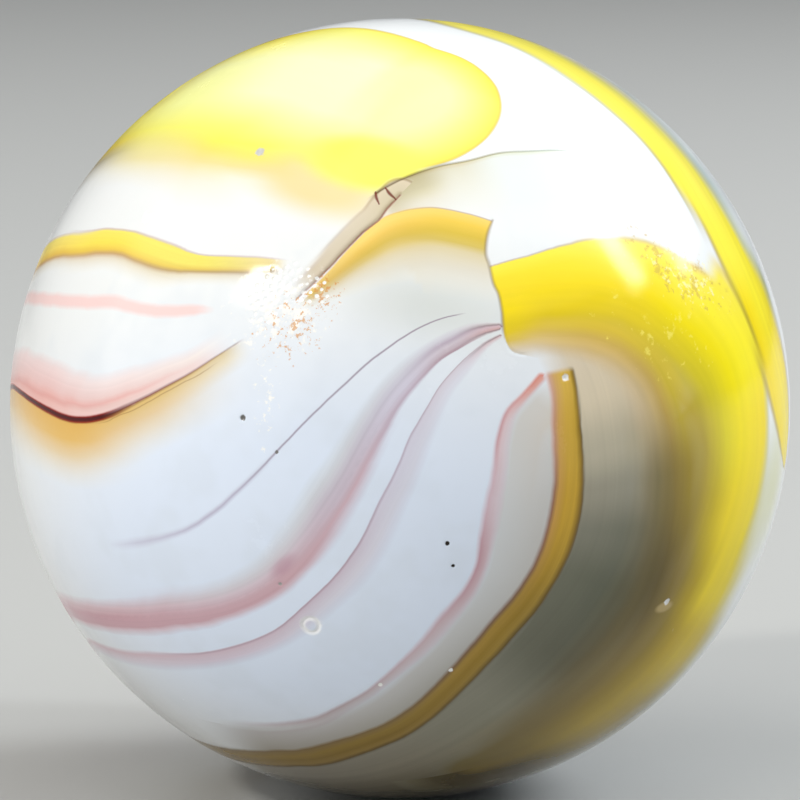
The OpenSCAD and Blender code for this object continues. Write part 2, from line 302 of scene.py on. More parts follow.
PATHS: tuple[SkinPath, ...] = (
    SkinPath(Trail.TONGUE, (
        (-0.6, 49.7, 14.7), (-5, 51.6, 15.3), (-12, 55.2, 16.1), (-22, 60, 16.5), (-32, 63, 15),
        (-42, 66, 13.7),
    ), (
        (55.6, 72.2, 13.6), (50.8, 58.2, 13), (40.2, 45.1, 12), (24, 33.6, 9.8), (4.7, 24.2, 6),
        (-6.5, 20, 2.5),
    )),
    SkinPath(Trail.LEFT_RIBBON, (
        (-16, 20.3, 0.7), (-20, 20.5, 1.1), (-25, 20.9, 1.2), (-30, 21.5, 1.3), (-35, 22.9, 1.9),
        (-40, 24.9, 2), (-45, 26.9, 1.9), (-50, 28, 2), (-57, 29, 2.1), (-65, 30.7, 2.3), (-78, 32, 2.5),
    ), (
        (83.4, 34.5, 2.8), (68, 29, 3.4), (50, 23, 3), (34, 14, 2.4), (20, 4, 1.6), (12, -3, 0.8),
    )),
    SkinPath(Trail.PINK_THREAD, (
        (-27, 14.2, 0.4), (-30, 14.3, 0.7), (-35, 14.4, 0.8), (-40, 15.3, 0.8), (-45, 16.7, 0.9),
        (-50, 17.3, 0.9), (-55, 18, 0.9), (-62, 19.3, 0.9), (-70, 21.2, 0.9),
    ), (
        (87.6, 25.3, 0.9), (70, 19, 0.9), (48, 11, 0.8), (32, 1, 0.6),
    )),
    SkinPath(Trail.SALMON_FIELD, (
        (-25, 9.6, 1.2), (-30, 6.6, 1.4), (-35, 4.9, 1.9), (-40, 3.2, 2.4), (-45, 1.9, 2.7),
        (-50, 1.6, 3.1), (-55, 2.2, 3.5), (-60, 3.4, 3.7), (-66, 4.7, 3.6), (-73, 6.6, 3.4),
    ), (
        (88.3, 7.2, 3), (70, 5, 2.4), (52, -2, 1.6),
    )),
    SkinPath(Trail.OXBLOOD_LINE, (
        (-22, 9.7, 0.2), (-26, 7.4, 0.25), (-30, 5.1, 0.3), (-35, 2.8, 0.35), (-40, 0.7, 0.45),
        (-45, -1, 0.5), (-50, -1.8, 0.5), (-55, -1.5, 0.5), (-60, -0.3, 0.5), (-66, 1.4, 0.45),
        (-72, 3.1, 0.4), (-80, 4.6, 0.4),
    ), (
        (88.1, 3.5, 0.5), (72, 1, 0.7), (55, -5, 0.8), (38, -10, 0.7), (22, -13, 0.5), (10, -14, 0.3),
    )),
    SkinPath(Trail.HOOK, (
        (-12.4, 15.9, 0.5), (-9.4, 18.4, 0.9), (-5.3, 22.2, 1.5), (-1.2, 25.2, 2.15), (4, 26.2, 2.5),
        (9, 25.5, 2.5), (12.7, 24.6, 2.4),
    )),
    SkinPath(Trail.CRESCENT, (
        (13.8, 15, 5), (20, 16.5, 5.5), (28, 17.5, 7), (36, 16.5, 9), (44, 12, 11), (51, 6, 10.5),
        (54.5, -3, 9), (55, -12, 8.5), (53.5, -20, 8), (51.5, -27, 7.5), (48.5, -34, 7.5), (44, -42, 8),
        (38, -49, 8.5), (31, -55, 8.5), (23, -60, 7), (14, -64, 4),
    )),
    SkinPath(Trail.OUTER_RIBBON, (
        (15, 80, 4.8), (24, 73.5, 4.4), (30, 68, 4), (36, 62, 3.8), (41.5, 56, 3.6), (46, 50.5, 3.5),
        (50, 44.5, 3.6), (53.2, 38.5, 3.8), (55.7, 33, 4), (58.5, 27, 4.4), (62, 20.5, 4.6),
        (65.5, 14, 4.4), (69, 8, 4.1), (72.5, 1.5, 3.6), (76, -5, 2.6), (78.5, -10, 1.2),
    ), (
        (-15, 6, 1), (-23, 19, 3.2), (-21.5, 31, 4.6), (-14, 42, 5.2), (-5, 53, 5.5), (1, 65, 5.4),
        (0, 76, 5.1), (-6, 86, 4.9),
    ), rear_first=True),
    SkinPath(Trail.GREY_THREAD, (
        (9, 13.1, 0.2), (5, 12.1, 0.25), (1, 10, 0.3), (-3.5, 6.9, 0.35), (-7.5, 3.3, 0.35),
        (-11.6, -0.5, 0.35), (-15.5, -4.4, 0.35), (-19.2, -8.2, 0.4), (-22, -10.8, 0.4), (-25, -13.5, 0.4),
        (-29.5, -16.8, 0.4), (-34.5, -19, 0.4), (-40, -20.6, 0.5), (-46, -21.8, 0.5),
    )),
    SkinPath(Trail.ROSE_RIBBON, (
        (13.6, 11.1, 0.5), (10, 10.1, 0.9), (5, 7.3, 1.1), (1.4, 4, 1.4), (-1.4, 0.5, 1.6),
        (-3.8, -3.6, 1.8), (-6.8, -9.3, 2), (-9.5, -13.8, 2.3), (-13, -18.8, 2.2), (-17, -23.6, 2.1),
        (-22, -27.2, 2), (-26.5, -29.4, 2), (-31, -31, 2.2), (-36, -32.4, 2.3), (-42, -34.2, 2.3),
        (-48, -35.7, 2.2), (-54, -37.1, 2.1), (-61, -38.8, 2), (-69, -41, 2),
    ), (
        (82.9, -49.7, 2.2), (68, -43, 2.4), (52, -37, 2.5), (36, -31, 2.3), (20, -25, 1.8), (6, -19, 1),
    )),
    SkinPath(Trail.ROSE_THREAD, (
        (13.8, 9.9, 0.3), (11.5, 8.4, 0.5), (8.5, 5.4, 0.8), (6, 2.4, 0.9), (4.3, -0.6, 1),
        (2.3, -4.5, 1.2), (0.5, -9, 1.3), (-1.7, -13.5, 1.4), (-3.8, -18, 1.4), (-6.2, -22, 1.4),
        (-9.5, -25.9, 1.3), (-13.6, -30, 1.2), (-17.5, -33.4, 1.1), (-21.5, -35.9, 1.1), (-26, -38, 1.1),
        (-31, -39.9, 1.1), (-36, -41.3, 1.2), (-41, -42.6, 1.3), (-47, -44.2, 1.2), (-54, -45.8, 1.1),
        (-62, -47.8, 1.1),
    ), (
        (74.5, -59, 1.3), (62, -52, 1.5), (46, -47, 1.6), (29, -42, 1.5), (12, -38, 1.2), (-3, -31, 0.7),
    )),
    SkinPath(Trail.LOW_THREAD, (
        (19.6, 4.2, 0.7), (17.2, 1.6, 0.6), (15.2, -0.8, 0.7), (14.1, -4.5, 0.8), (13.6, -9, 0.9),
        (12.8, -13.5, 1.1), (12.1, -18, 1), (11.4, -22.2, 0.8), (9.6, -26.2, 0.9), (6.4, -30.6, 1.1),
        (3, -35.2, 1), (-0.5, -39, 0.8), (-4.5, -43.3, 0.7), (-9, -47, 0.8), (-14, -50.7, 1.1),
        (-19.5, -53, 1.5), (-25, -54.4, 1.8), (-31, -55.5, 1.8),
    )),
    SkinPath(Trail.OCHRE_RIBBON, (
        (23, 5, 2), (23.5, 2, 1.9), (23.6, -2, 2), (23.9, -6, 2.1), (24, -10, 2.1), (23.7, -14.5, 2.2),
        (22.6, -19.5, 2.2), (20.9, -24, 2.1), (18.2, -28.6, 2.2), (14.8, -33, 2.2), (10.2, -39.2, 2),
        (5, -45.9, 1.9), (0, -51.2, 2), (-5, -54.6, 2.1), (-10, -57.8, 2.3), (-15, -61, 2.4),
        (-20, -63, 2.4), (-26, -65.6, 2.4), (-34, -69, 2.3), (-42, -72.5, 2.3),
    ), (
        (44.4, -79.7, 2.6), (34, -69, 3), (20, -60, 3.2), (4, -53, 3), (-10, -44, 2.6), (-20, -32, 2),
        (-24, -19, 1.2),
    )),
    # Smoky grey glass in the lower right, whose layer also paints the shade there.
    SkinPath(Trail.SMOKE_AND_SHADE_FIELD, (
        (27, 9.5, 6), (30, 4, 7.5), (32, -3, 8), (33.3, -11, 9), (33, -19, 9.5), (30.5, -27, 10),
        (26, -35, 10), (19.5, -43.5, 10), (12, -51.5, 10), (4, -59, 10), (-5, -66, 10), (-16, -72, 9),
        (-28, -76, 8),
    )),
    SkinPath(Trail.BRONZE_HAZE, (
        (16, 10.2, 1.6), (21, 10, 1.8), (27, 10, 2.4), (32, 8.5, 3), (36.5, 5, 3.6), (39.5, 0, 4),
        (41.5, -7, 4.2), (42.3, -15, 4.2), (41.8, -23, 4), (39.8, -31, 4), (36, -38.5, 4), (30, -46, 4.5),
        (22, -54, 5), (12, -62, 5),
    )),
    SkinPath(Trail.FOLD, (
        (-14.5, 15.2, 0.3), (-12.3, 17.2, 0.35), (-10, 19.5, 0.35), (-8, 21.8, 0.35), (-5, 25, 0.35),
        (-3, 26.8, 0.35), (-2, 28.3, 0.35), (-1, 29.5, 0.3), (0, 30.7, 0.25),
    )),
    SkinPath(Trail.FOLD_TOP, (
        (-3.5, 31, 0.3), (0, 33.2, 0.3), (5, 35.4, 0.32), (10, 36.8, 0.32), (15, 38.6, 0.3),
        (20, 39.5, 0.26), (25, 40.4, 0.22), (28, 40.5, 0.15),
    )),
    SkinPath(Trail.SEAM, (
        (13.3, 27, 0.15), (12.6, 25.2, 0.25), (12.2, 23.4, 0.25), (12.1, 21.6, 0.25), (12.5, 20.1, 0.25),
        (13, 17.5, 0.25), (13.7, 15.8, 0.25), (14.1, 13.5, 0.25), (14.2, 11.8, 0.25), (14.4, 10.1, 0.25),
        (14.9, 8.7, 0.22), (15.7, 7.8, 0.2), (17.2, 7.4, 0.15),
    )),
    SkinPath(Trail.LEFT_NICK, (
        (-3.5, 31.2, 0.1), (-3.4, 30.3, 0.2), (-3, 29.2, 0.1),
    )),
    SkinPath(Trail.RIGHT_NICK, (
        (-2.1, 31.9, 0.1), (-1.5, 30.9, 0.22), (-0.6, 30, 0.1),
    )),
    SkinPath(Trail.REAR_FOLD, (), (
        (3, 13, 0.3), (-2, 9, 0.4), (-6.3, 3, 0.4), (-7, -4, 0.4), (-5.8, -9.5, 0.4), (-4, -14, 0.3),
    )),
)


def blister_path() -> SkinPath:
    """The ring of a burst blister, as a closed path of even stations."""
    middle = (-13.0, -31.6)
    reach = 1.2
    half_width = 0.36
    stops = 12
    turns = [math.tau * k / stops for k in range(stops + 1)]
    ring = [(middle[0] + reach * math.cos(t), middle[1] + reach * math.sin(t), half_width) for t in turns]
    return SkinPath(Trail.BLISTER, tuple(ring))


PATH_OF: dict[Trail, SkinPath] = {path.trail: path for path in (*PATHS, blister_path())}


class SkinTree:
    """A Geometry Nodes tree that is laid over the ball's skin as a modifier."""

    def __init__(self, name: str, inputs: dict[str, str]) -> None:
        """Opens the tree's inputs and its output.

        Args:
            name: The tree's name.
            inputs: The inputs that only this tree has, each with its type of socket.
        """
        self.tree = bpy.data.node_groups.new(name, "GeometryNodeTree")
        self.draft = NodeDraft(self.tree)
        self.sockets: dict[str, str] = {}
        shared = {"Geometry": "Geometry", "Ball Radius": "Float", "Skin": "Material"}
        for label, kind in (shared | inputs).items():
            item = self.tree.interface.new_socket(label, in_out="INPUT", socket_type=f"NodeSocket{kind}")
            self.sockets[label] = item.identifier
        self.tree.interface.new_socket("Geometry", in_out="OUTPUT", socket_type="NodeSocketGeometry")
        self.given = self.draft.add("NodeGroupInput").outputs
        self.here = self.draft.add("GeometryNodeInputPosition").outputs[0]

    def drawn(self, label: str) -> Socket:
        """The geometry of the object that an input brings in."""
        wires = {"Object": self.given[label]}
        return self.draft.add("GeometryNodeObjectInfo", wires, transform_space="ORIGINAL").outputs["Geometry"]

    def nearest(self, points: Socket) -> Socket:
        """The number of the point that lies nearest to a place on the skin."""
        wires = {"Geometry": points, "Sample Position": self.here}
        return self.draft.add("GeometryNodeSampleNearest", wires).outputs["Index"]

    def sample(self, points: Socket, value: Socket, index: Socket, kind: str = "FLOAT") -> Socket:
        """Reads a value of one of the points."""
        wires = {"Geometry": points, "Value": value, "Index": index}
        return self.draft.add("GeometryNodeSampleIndex", wires, data_type=kind, domain="POINT").outputs[0]

    def named(self, name: str) -> Socket:
        """Reads a number that the points carry by name."""
        return self.draft.add("GeometryNodeInputNamedAttribute", {"Name": name}, data_type="FLOAT").outputs[0]

    def store(self, skin: Socket, name: Any, value: Socket, kind: str = "FLOAT") -> Socket:
        """Keeps a value on the skin by name."""
        wires = {"Geometry": skin, "Name": name, "Value": value}
        node = self.draft.add("GeometryNodeStoreNamedAttribute", wires, data_type=kind, domain="POINT")
        return node.outputs[0]

    def hand_out(self, skin: Socket) -> None:
        """Ends the tree: makes the skin real and gives it its material."""
        skin = self.draft.add("GeometryNodeRealizeInstances", {0: skin}).outputs[0]
        wires = {"Geometry": skin, "Material": self.given["Skin"]}
        skin = self.draft.add("GeometryNodeSetMaterial", wires).outputs[0]
        self.draft.add("NodeGroupOutput", {0: skin})

    def lay_on(self, ball: bpy.types.Object, name: str, skin: bpy.types.Material, values: dict[str, Any]
               ) -> None:
        """Gives the ball the tree as a modifier, and sets its inputs by their identifiers.

        Args:
            ball: The ball's object.
            name: The modifier's name.
            skin: The ball's material.
            values: The values of the inputs that only this tree has.
        """
        modifier = ball.modifiers.new(name, "NODES")
        modifier.node_group = self.tree
        for label, value in ({"Ball Radius": BALL_RADIUS, "Skin": skin} | values).items():
            modifier[self.sockets[label]] = value


class PathField(SkinTree):
    """Tells every point of the skin where it lies beside a path, and presses the path in.

    The attribute that a path leaves behind has three parts: how far to the left of the path's line, in half
    widths, how far along it, as a share of its length, and how far from its nearest point, in degrees.
    """

    STEP = 0.3  # degrees between two beads
    SMOOTHNESS = 16  # steps of the smooth curve between two stations
    SLACK = 0.6  # share of a gap that counts as beside a bead
    FAR = 45.0  # degrees past which a path presses nothing
    TO_DEGREES = 180 / math.pi

    def __init__(self) -> None:
        """Builds the tree, which every path then shares."""
        inputs = {"Path": "Object", "Field Name": "String", "Step": "Float", "Depth": "Float"}
        super().__init__("path_field", inputs)
        draft = self.draft
        beads, gaps, spacing = self.threaded()
        points = beads.outputs["Points"]
        nearest = self.nearest(points)
        spot = self.sample(points, self.here, nearest, "FLOAT_VECTOR")
        ahead = self.sample(points, beads.outputs["Tangent"], nearest, "FLOAT_VECTOR")
        half = self.turn(self.sample(points, draft.add("GeometryNodeInputRadius").outputs[0], nearest))

        out = draft.vector("NORMALIZE", spot)
        inward = draft.scaled(out, draft.vector("DOT_PRODUCT", ahead, out))
        along_way = draft.vector("NORMALIZE", draft.vector("SUBTRACT", ahead, inward))
        side_way = draft.vector("CROSS_PRODUCT", out, along_way)
        reach = draft.vector("NORMALIZE", self.here)
        halves = draft.math("DIVIDE", self.degrees(draft.vector("DOT_PRODUCT", reach, side_way)), half)
        onward = self.degrees(draft.vector("DOT_PRODUCT", reach, along_way))
        along = draft.math("DIVIDE", draft.math("ADD", nearest, draft.math("DIVIDE", onward, spacing)), gaps)
        chord = draft.math("DIVIDE", draft.vector("DISTANCE", self.here, spot), self.given["Ball Radius"])
        distance = draft.times(self.degrees(draft.times(chord, 0.5)), 2.0)
        place = draft.add("ShaderNodeCombineXYZ", {0: halves, 1: along, 2: distance}).outputs[0]
        skin = self.store(self.given["Geometry"], self.given["Field Name"], place, "FLOAT_VECTOR")

        overrun = draft.math("SUBTRACT", draft.math("ABSOLUTE", onward), draft.times(spacing, self.SLACK))
        overrun = draft.math("DIVIDE", draft.math("MAXIMUM", overrun, 0.0), half)
        press = draft.eased(draft.hypot(halves, overrun), 1.0, 0.0)
        press = draft.times(press, draft.math("LESS_THAN", distance, self.FAR))
        pressed = draft.math("SUBTRACT", self.named(RELIEF), draft.times(press, self.given["Depth"]))
        self.hand_out(self.store(skin, RELIEF, pressed))

    def threaded(self) -> tuple[bpy.types.Node, Socket, Socket]:
        """Smooths the path's curve and threads it with even beads.

        Returns:
            The node of the beads, the number of gaps between them, and a gap's length in degrees.
        """
        draft = self.draft
        wires = {"Curve": self.drawn("Path")}
        curve = draft.add("GeometryNodeCurveSplineType", wires, spline_type="CATMULL_ROM").outputs[0]
        wires = {"Geometry": curve, "Resolution": self.SMOOTHNESS}
        curve = draft.add("GeometryNodeSetSplineResolution", wires).outputs[0]
        wires = {"Curve": curve, "Length": self.given["Step"]}
        curve = draft.add("GeometryNodeResampleCurve", wires, mode="LENGTH").outputs[0]
        length = draft.add("GeometryNodeCurveLength", {"Curve": curve}).outputs[0]
        beads = draft.add("GeometryNodeCurveToPoints", {"Curve": curve}, mode="EVALUATED")
        wires = {0: beads.outputs["Points"]}
        size = draft.add("GeometryNodeAttributeDomainSize", wires, component="POINTCLOUD")
        gaps = draft.math("SUBTRACT", size.outputs["Point Count"], 1.0)
        return beads, gaps, self.turn(draft.math("DIVIDE", length, gaps))

    def turn(self, length: Socket) -> Socket:
        """A length over the skin, in degrees."""
        return self.draft.times(self.draft.math("DIVIDE", length, self.given["Ball Radius"]), self.TO_DEGREES)

    def degrees(self, sine: Socket) -> Socket:
        """The angle whose sine this is, in degrees."""
        return self.draft.times(self.draft.math("ARCSINE", sine), self.TO_DEGREES)

    def lay(self, ball: bpy.types.Object, path: SkinPath, depth: float, skin: bpy.types.Material) -> None:
        """Adds the tree to the ball for one path.

        Args:
            ball: The ball's object.
            path: The path to lay.
            depth: How deep the path is pressed in, or how proud it stands if it is negative.
            skin: The ball's material.
        """
        name = path.trail.value
        values = {"Path": path.draw(), "Field Name": name, "Step": self.STEP * DEGREE, "Depth": depth}
        self.lay_on(ball, name, skin, values)


@dataclass(frozen=True)
class Pit:
    """A chip or prick in the skin: where, how wide, how deep, and how dark its dirt is from 0, white broken
    glass and painted glint, to 1.
    """

    toward: Vector
    reach: float
    depth: float
    stain: float


class PitField(SkinTree):
    """Presses pits into the skin, and tells every point how near its pit is."""

    FIELD = "pit"
    SIZES = ("reach", "depth", "stain")
    RAGGED = 1.1  # how far the noise moves a pit's edge
    SEED = 4.0
    GRAIN = 1.6  # the noise's scale, to a degree
    FLOOR = 0.25  # share of a pit's reach that is its flat floor

    def __init__(self) -> None:
        """Builds the tree."""
        super().__init__("pit_field", {"Pits": "Object", "Ragged": "Float", "Seed": "Float"})
        draft = self.draft
        pits = self.drawn("Pits")
        nearest = self.nearest(pits)
        spot = self.sample(pits, self.here, nearest, "FLOAT_VECTOR")
        reach, depth, stain = [self.sample(pits, self.named(size), nearest) for size in self.SIZES]

        place = draft.scaled(self.here, 1 / DEGREE)
        wires = {"Vector": place, "W": self.given["Seed"], "Scale": self.GRAIN, "Detail": 1.0}
        uneven = draft.add("ShaderNodeTexNoise", wires, noise_dimensions="4D").outputs["Fac"]
        uneven = draft.times(draft.math("SUBTRACT", uneven, NOISE_MIDDLE), self.given["Ragged"])
        share = draft.math("DIVIDE", draft.vector("DISTANCE", self.here, spot), reach)
        share = draft.times(share, draft.math("ADD", 1.0, uneven))
        value = draft.add("ShaderNodeCombineXYZ", {0: share, 1: stain, 2: depth}).outputs[0]
        skin = self.store(self.given["Geometry"], self.FIELD, value, "FLOAT_VECTOR")
        press = draft.times(draft.eased(share, 1.0, self.FLOOR), depth)
        height = draft.math("SUBTRACT", self.named(RELIEF), press)
        out = draft.vector("NORMALIZE", self.here)
        moved = draft.scaled(out, draft.math("ADD", self.given["Ball Radius"], height))
        self.hand_out(draft.add("GeometryNodeSetPosition", {"Geometry": skin, "Position": moved}).outputs[0])

    def draw(self, pits: list[Pit]) -> bpy.types.Object:
        """Makes the pits a mesh of loose points that carry their own sizes."""
        mesh = bpy.data.meshes.new("pits")
        mesh.from_pydata([pit.toward * BALL_RADIUS for pit in pits], [], [])
        for size in self.SIZES:
            values = mesh.attributes.new(size, "FLOAT", "POINT")
            for item, pit in zip(values.data, pits):
                item.value = getattr(pit, size)
        return put(bpy.data.objects.new("pits", mesh))

    def lay(self, ball: bpy.types.Object, pits: list[Pit], skin: bpy.types.Material) -> None:
        """Adds the tree to the ball for all its pits."""
        values = {"Pits": self.draw(pits), "Ragged": self.RAGGED, "Seed": self.SEED}
        self.lay_on(ball, self.FIELD, skin, values)


# ---- the ball --------------------------------------------------------------------------------------


@dataclass
class BallBlank:
    """The round ball before its paths and pits: six square patches of even cells, finer where marks fall."""

    cells: int = 108
    fine_reaches: tuple[float, ...] = (1.7, 0.7)
    maps_across: int = 3
    maps_up: int = 2
    patch_margin: float = 0.01
    weld: float = BALL_RADIUS * 1e-5

    def build(self, marks: list[tuple[Vector, float]]) -> bpy.types.Object:
        """Builds the mesh.

        Args:
            marks: Directions of marks, each with the reach in degrees that needs finer cells.

        Returns:
            The ball's object, with smooth faces and the bake's map.
        """
        points, faces, corners = self.patches()
        mesh = bpy.data.meshes.new(PIECE_NAME)
        mesh.from_pydata(points, [], faces)
        layer = mesh.uv_layers.new(name=BAKE_MAP)
        for loop, corner in zip(layer.data, corners):
            loop.uv = corner
        shape = bmesh.new()
        shape.from_mesh(mesh)
        bmesh.ops.remove_doubles(shape, verts=shape.verts, dist=self.weld)
        for extra in self.fine_reaches:
            self.refine(shape, marks, extra)
        self.round_off(shape)
        bmesh.ops.recalc_face_normals(shape, faces=shape.faces)
        for side in shape.faces:
            side.smooth = True
        shape.to_mesh(mesh)
        shape.free()
        relief = mesh.attributes.new(RELIEF, "FLOAT", "POINT")
        relief.data.foreach_set("value", [0.0] * len(mesh.vertices))
        return put(bpy.data.objects.new(PIECE_NAME, mesh))

    def round_off(self, shape: bmesh.types.BMesh) -> None:
        """Moves every point out to the ball's radius."""
        for vert in shape.verts:
            vert.co = vert.co.normalized() * BALL_RADIUS

    def patches(self) -> tuple[list[Vector], list[tuple[int, ...]], list[tuple[float, float]]]:
        """Points, faces and map corners of the six patches, which share no points yet."""
        axes = (
            (OUT_DIR, RIGHT_DIR, UP_DIR), (-OUT_DIR, -RIGHT_DIR, UP_DIR), (RIGHT_DIR, -OUT_DIR, UP_DIR),
            (-RIGHT_DIR, OUT_DIR, UP_DIR), (UP_DIR, RIGHT_DIR, -OUT_DIR), (-UP_DIR, RIGHT_DIR, OUT_DIR),
        )
        points: list[Vector] = []
        faces: list[tuple[int, ...]] = []
        corners: list[tuple[float, float]] = []
        row = self.cells + 1
        steps = [math.tan((k / self.cells - 0.5) * math.pi / 2) for k in range(row)]
        for number, (out, across, up) in enumerate(axes):
            first = len(points)
            points += [(out + x * across + y * up).normalized() * BALL_RADIUS for y in steps for x in steps]
            for j in range(self.cells):
                for i in range(self.cells):
                    ring = ((i, j), (i + 1, j), (i + 1, j + 1), (i, j + 1))
                    faces.append(tuple(first + y * row + x for x, y in ring))
                    corners += [self.on_map(number, x, y) for x, y in ring]
        return points, faces, corners

    def on_map(self, number: int, x: int, y: int) -> tuple[float, float]:
        """Where a patch's corner lies on the bake's map."""
        inner = 1 - 2 * self.patch_margin
        line, column = divmod(number, self.maps_across)
        u = (column + self.patch_margin + inner * x / self.cells) / self.maps_across
        v = (line + self.patch_margin + inner * y / self.cells) / self.maps_up
        return u, v

    def refine(self, shape: bmesh.types.BMesh, marks: list[tuple[Vector, float]], extra: float) -> None:
        """Halves the cells that lie near a mark.

        Args:
            shape: The ball so far.
            marks: Directions of marks, each with its reach in degrees.
            extra: How far past its reach a mark still halves the cells, in degrees.
        """
        tree = KDTree(len(marks))
        for number, (toward, _) in enumerate(marks):
            tree.insert(toward * BALL_RADIUS, number)
        tree.balance()
        widest = max(reach for _, reach in marks) + extra
        near = []
        for side in shape.faces:
            middle = side.calc_center_median().normalized() * BALL_RADIUS
            found = tree.find_range(middle, widest * DEGREE)
            if any(gap <= (marks[number][1] + extra) * DEGREE for _, number, gap in found):
                near.append(side)
        edges = {edge for side in near for edge in side.edges}
        bmesh.ops.subdivide_edges(shape, edges=list(edges), cuts=1, use_grid_fill=True)
        self.round_off(shape)


# ---- glass and its layers of colour, with some painted light and shade -------------------------------


@dataclass(frozen=True)
class Section:
    """The bands of colour across a path, from one place along it.

    A band is (place across, colour, cover). One without a cover has none at either end of the section, and
    covers fully between them.
    """

    along: float
    bands: tuple[Band, ...]

    def covered(self) -> list[tuple[float, Rgb, float]]:
        """The bands, every one with its cover."""
        last = len(self.bands) - 1
        return [(*band, float(0 < number < last))[:3] for number, band in enumerate(self.bands)]


@dataclass(frozen=True)
class Layer:
    """One wash of coloured glass laid along a path; a few of them also carry painted shade and highlight.

    Waver moves the edges in and out, and streaks draw the colour out into brighter and darker lines along the
    path. A path that the layer stays left or right of cuts it off within the cut's reach, in degrees. Start
    and end are where the cover comes in and goes out, in degrees from the path's own start and end.
    """

    trail: Trail
    sections: tuple[Section, ...]
    measure: Across = Across.HALF_WIDTHS
    start: tuple[float, float] | None = None
    end: tuple[float, float] | None = None
    waver: float = 0.0
    waver_run: float = 9.0
    streaks: float = 0.0
    streak_width: float = 1.2
    right_of: Trail | None = None
    left_of: Trail | None = None
    cut_reach: float = 6.0

    def lay(self, draft: NodeDraft, under: Socket) -> Socket:
        """Lays the wash over what is there and returns the new colour."""
        return Wash(self, draft).over(under)


class Beside:
    """Where a point lies beside a path, in the three parts of the path's field."""

    def __init__(self, draft: NodeDraft, trail: Trail) -> None:
        """Reads the path's field."""
        read = draft.add("ShaderNodeAttribute", attribute_name=trail.value)
        parts = draft.add("ShaderNodeSeparateXYZ", {0: read.outputs["Vector"]}).outputs
        self.halves, self.share, self.distance = parts


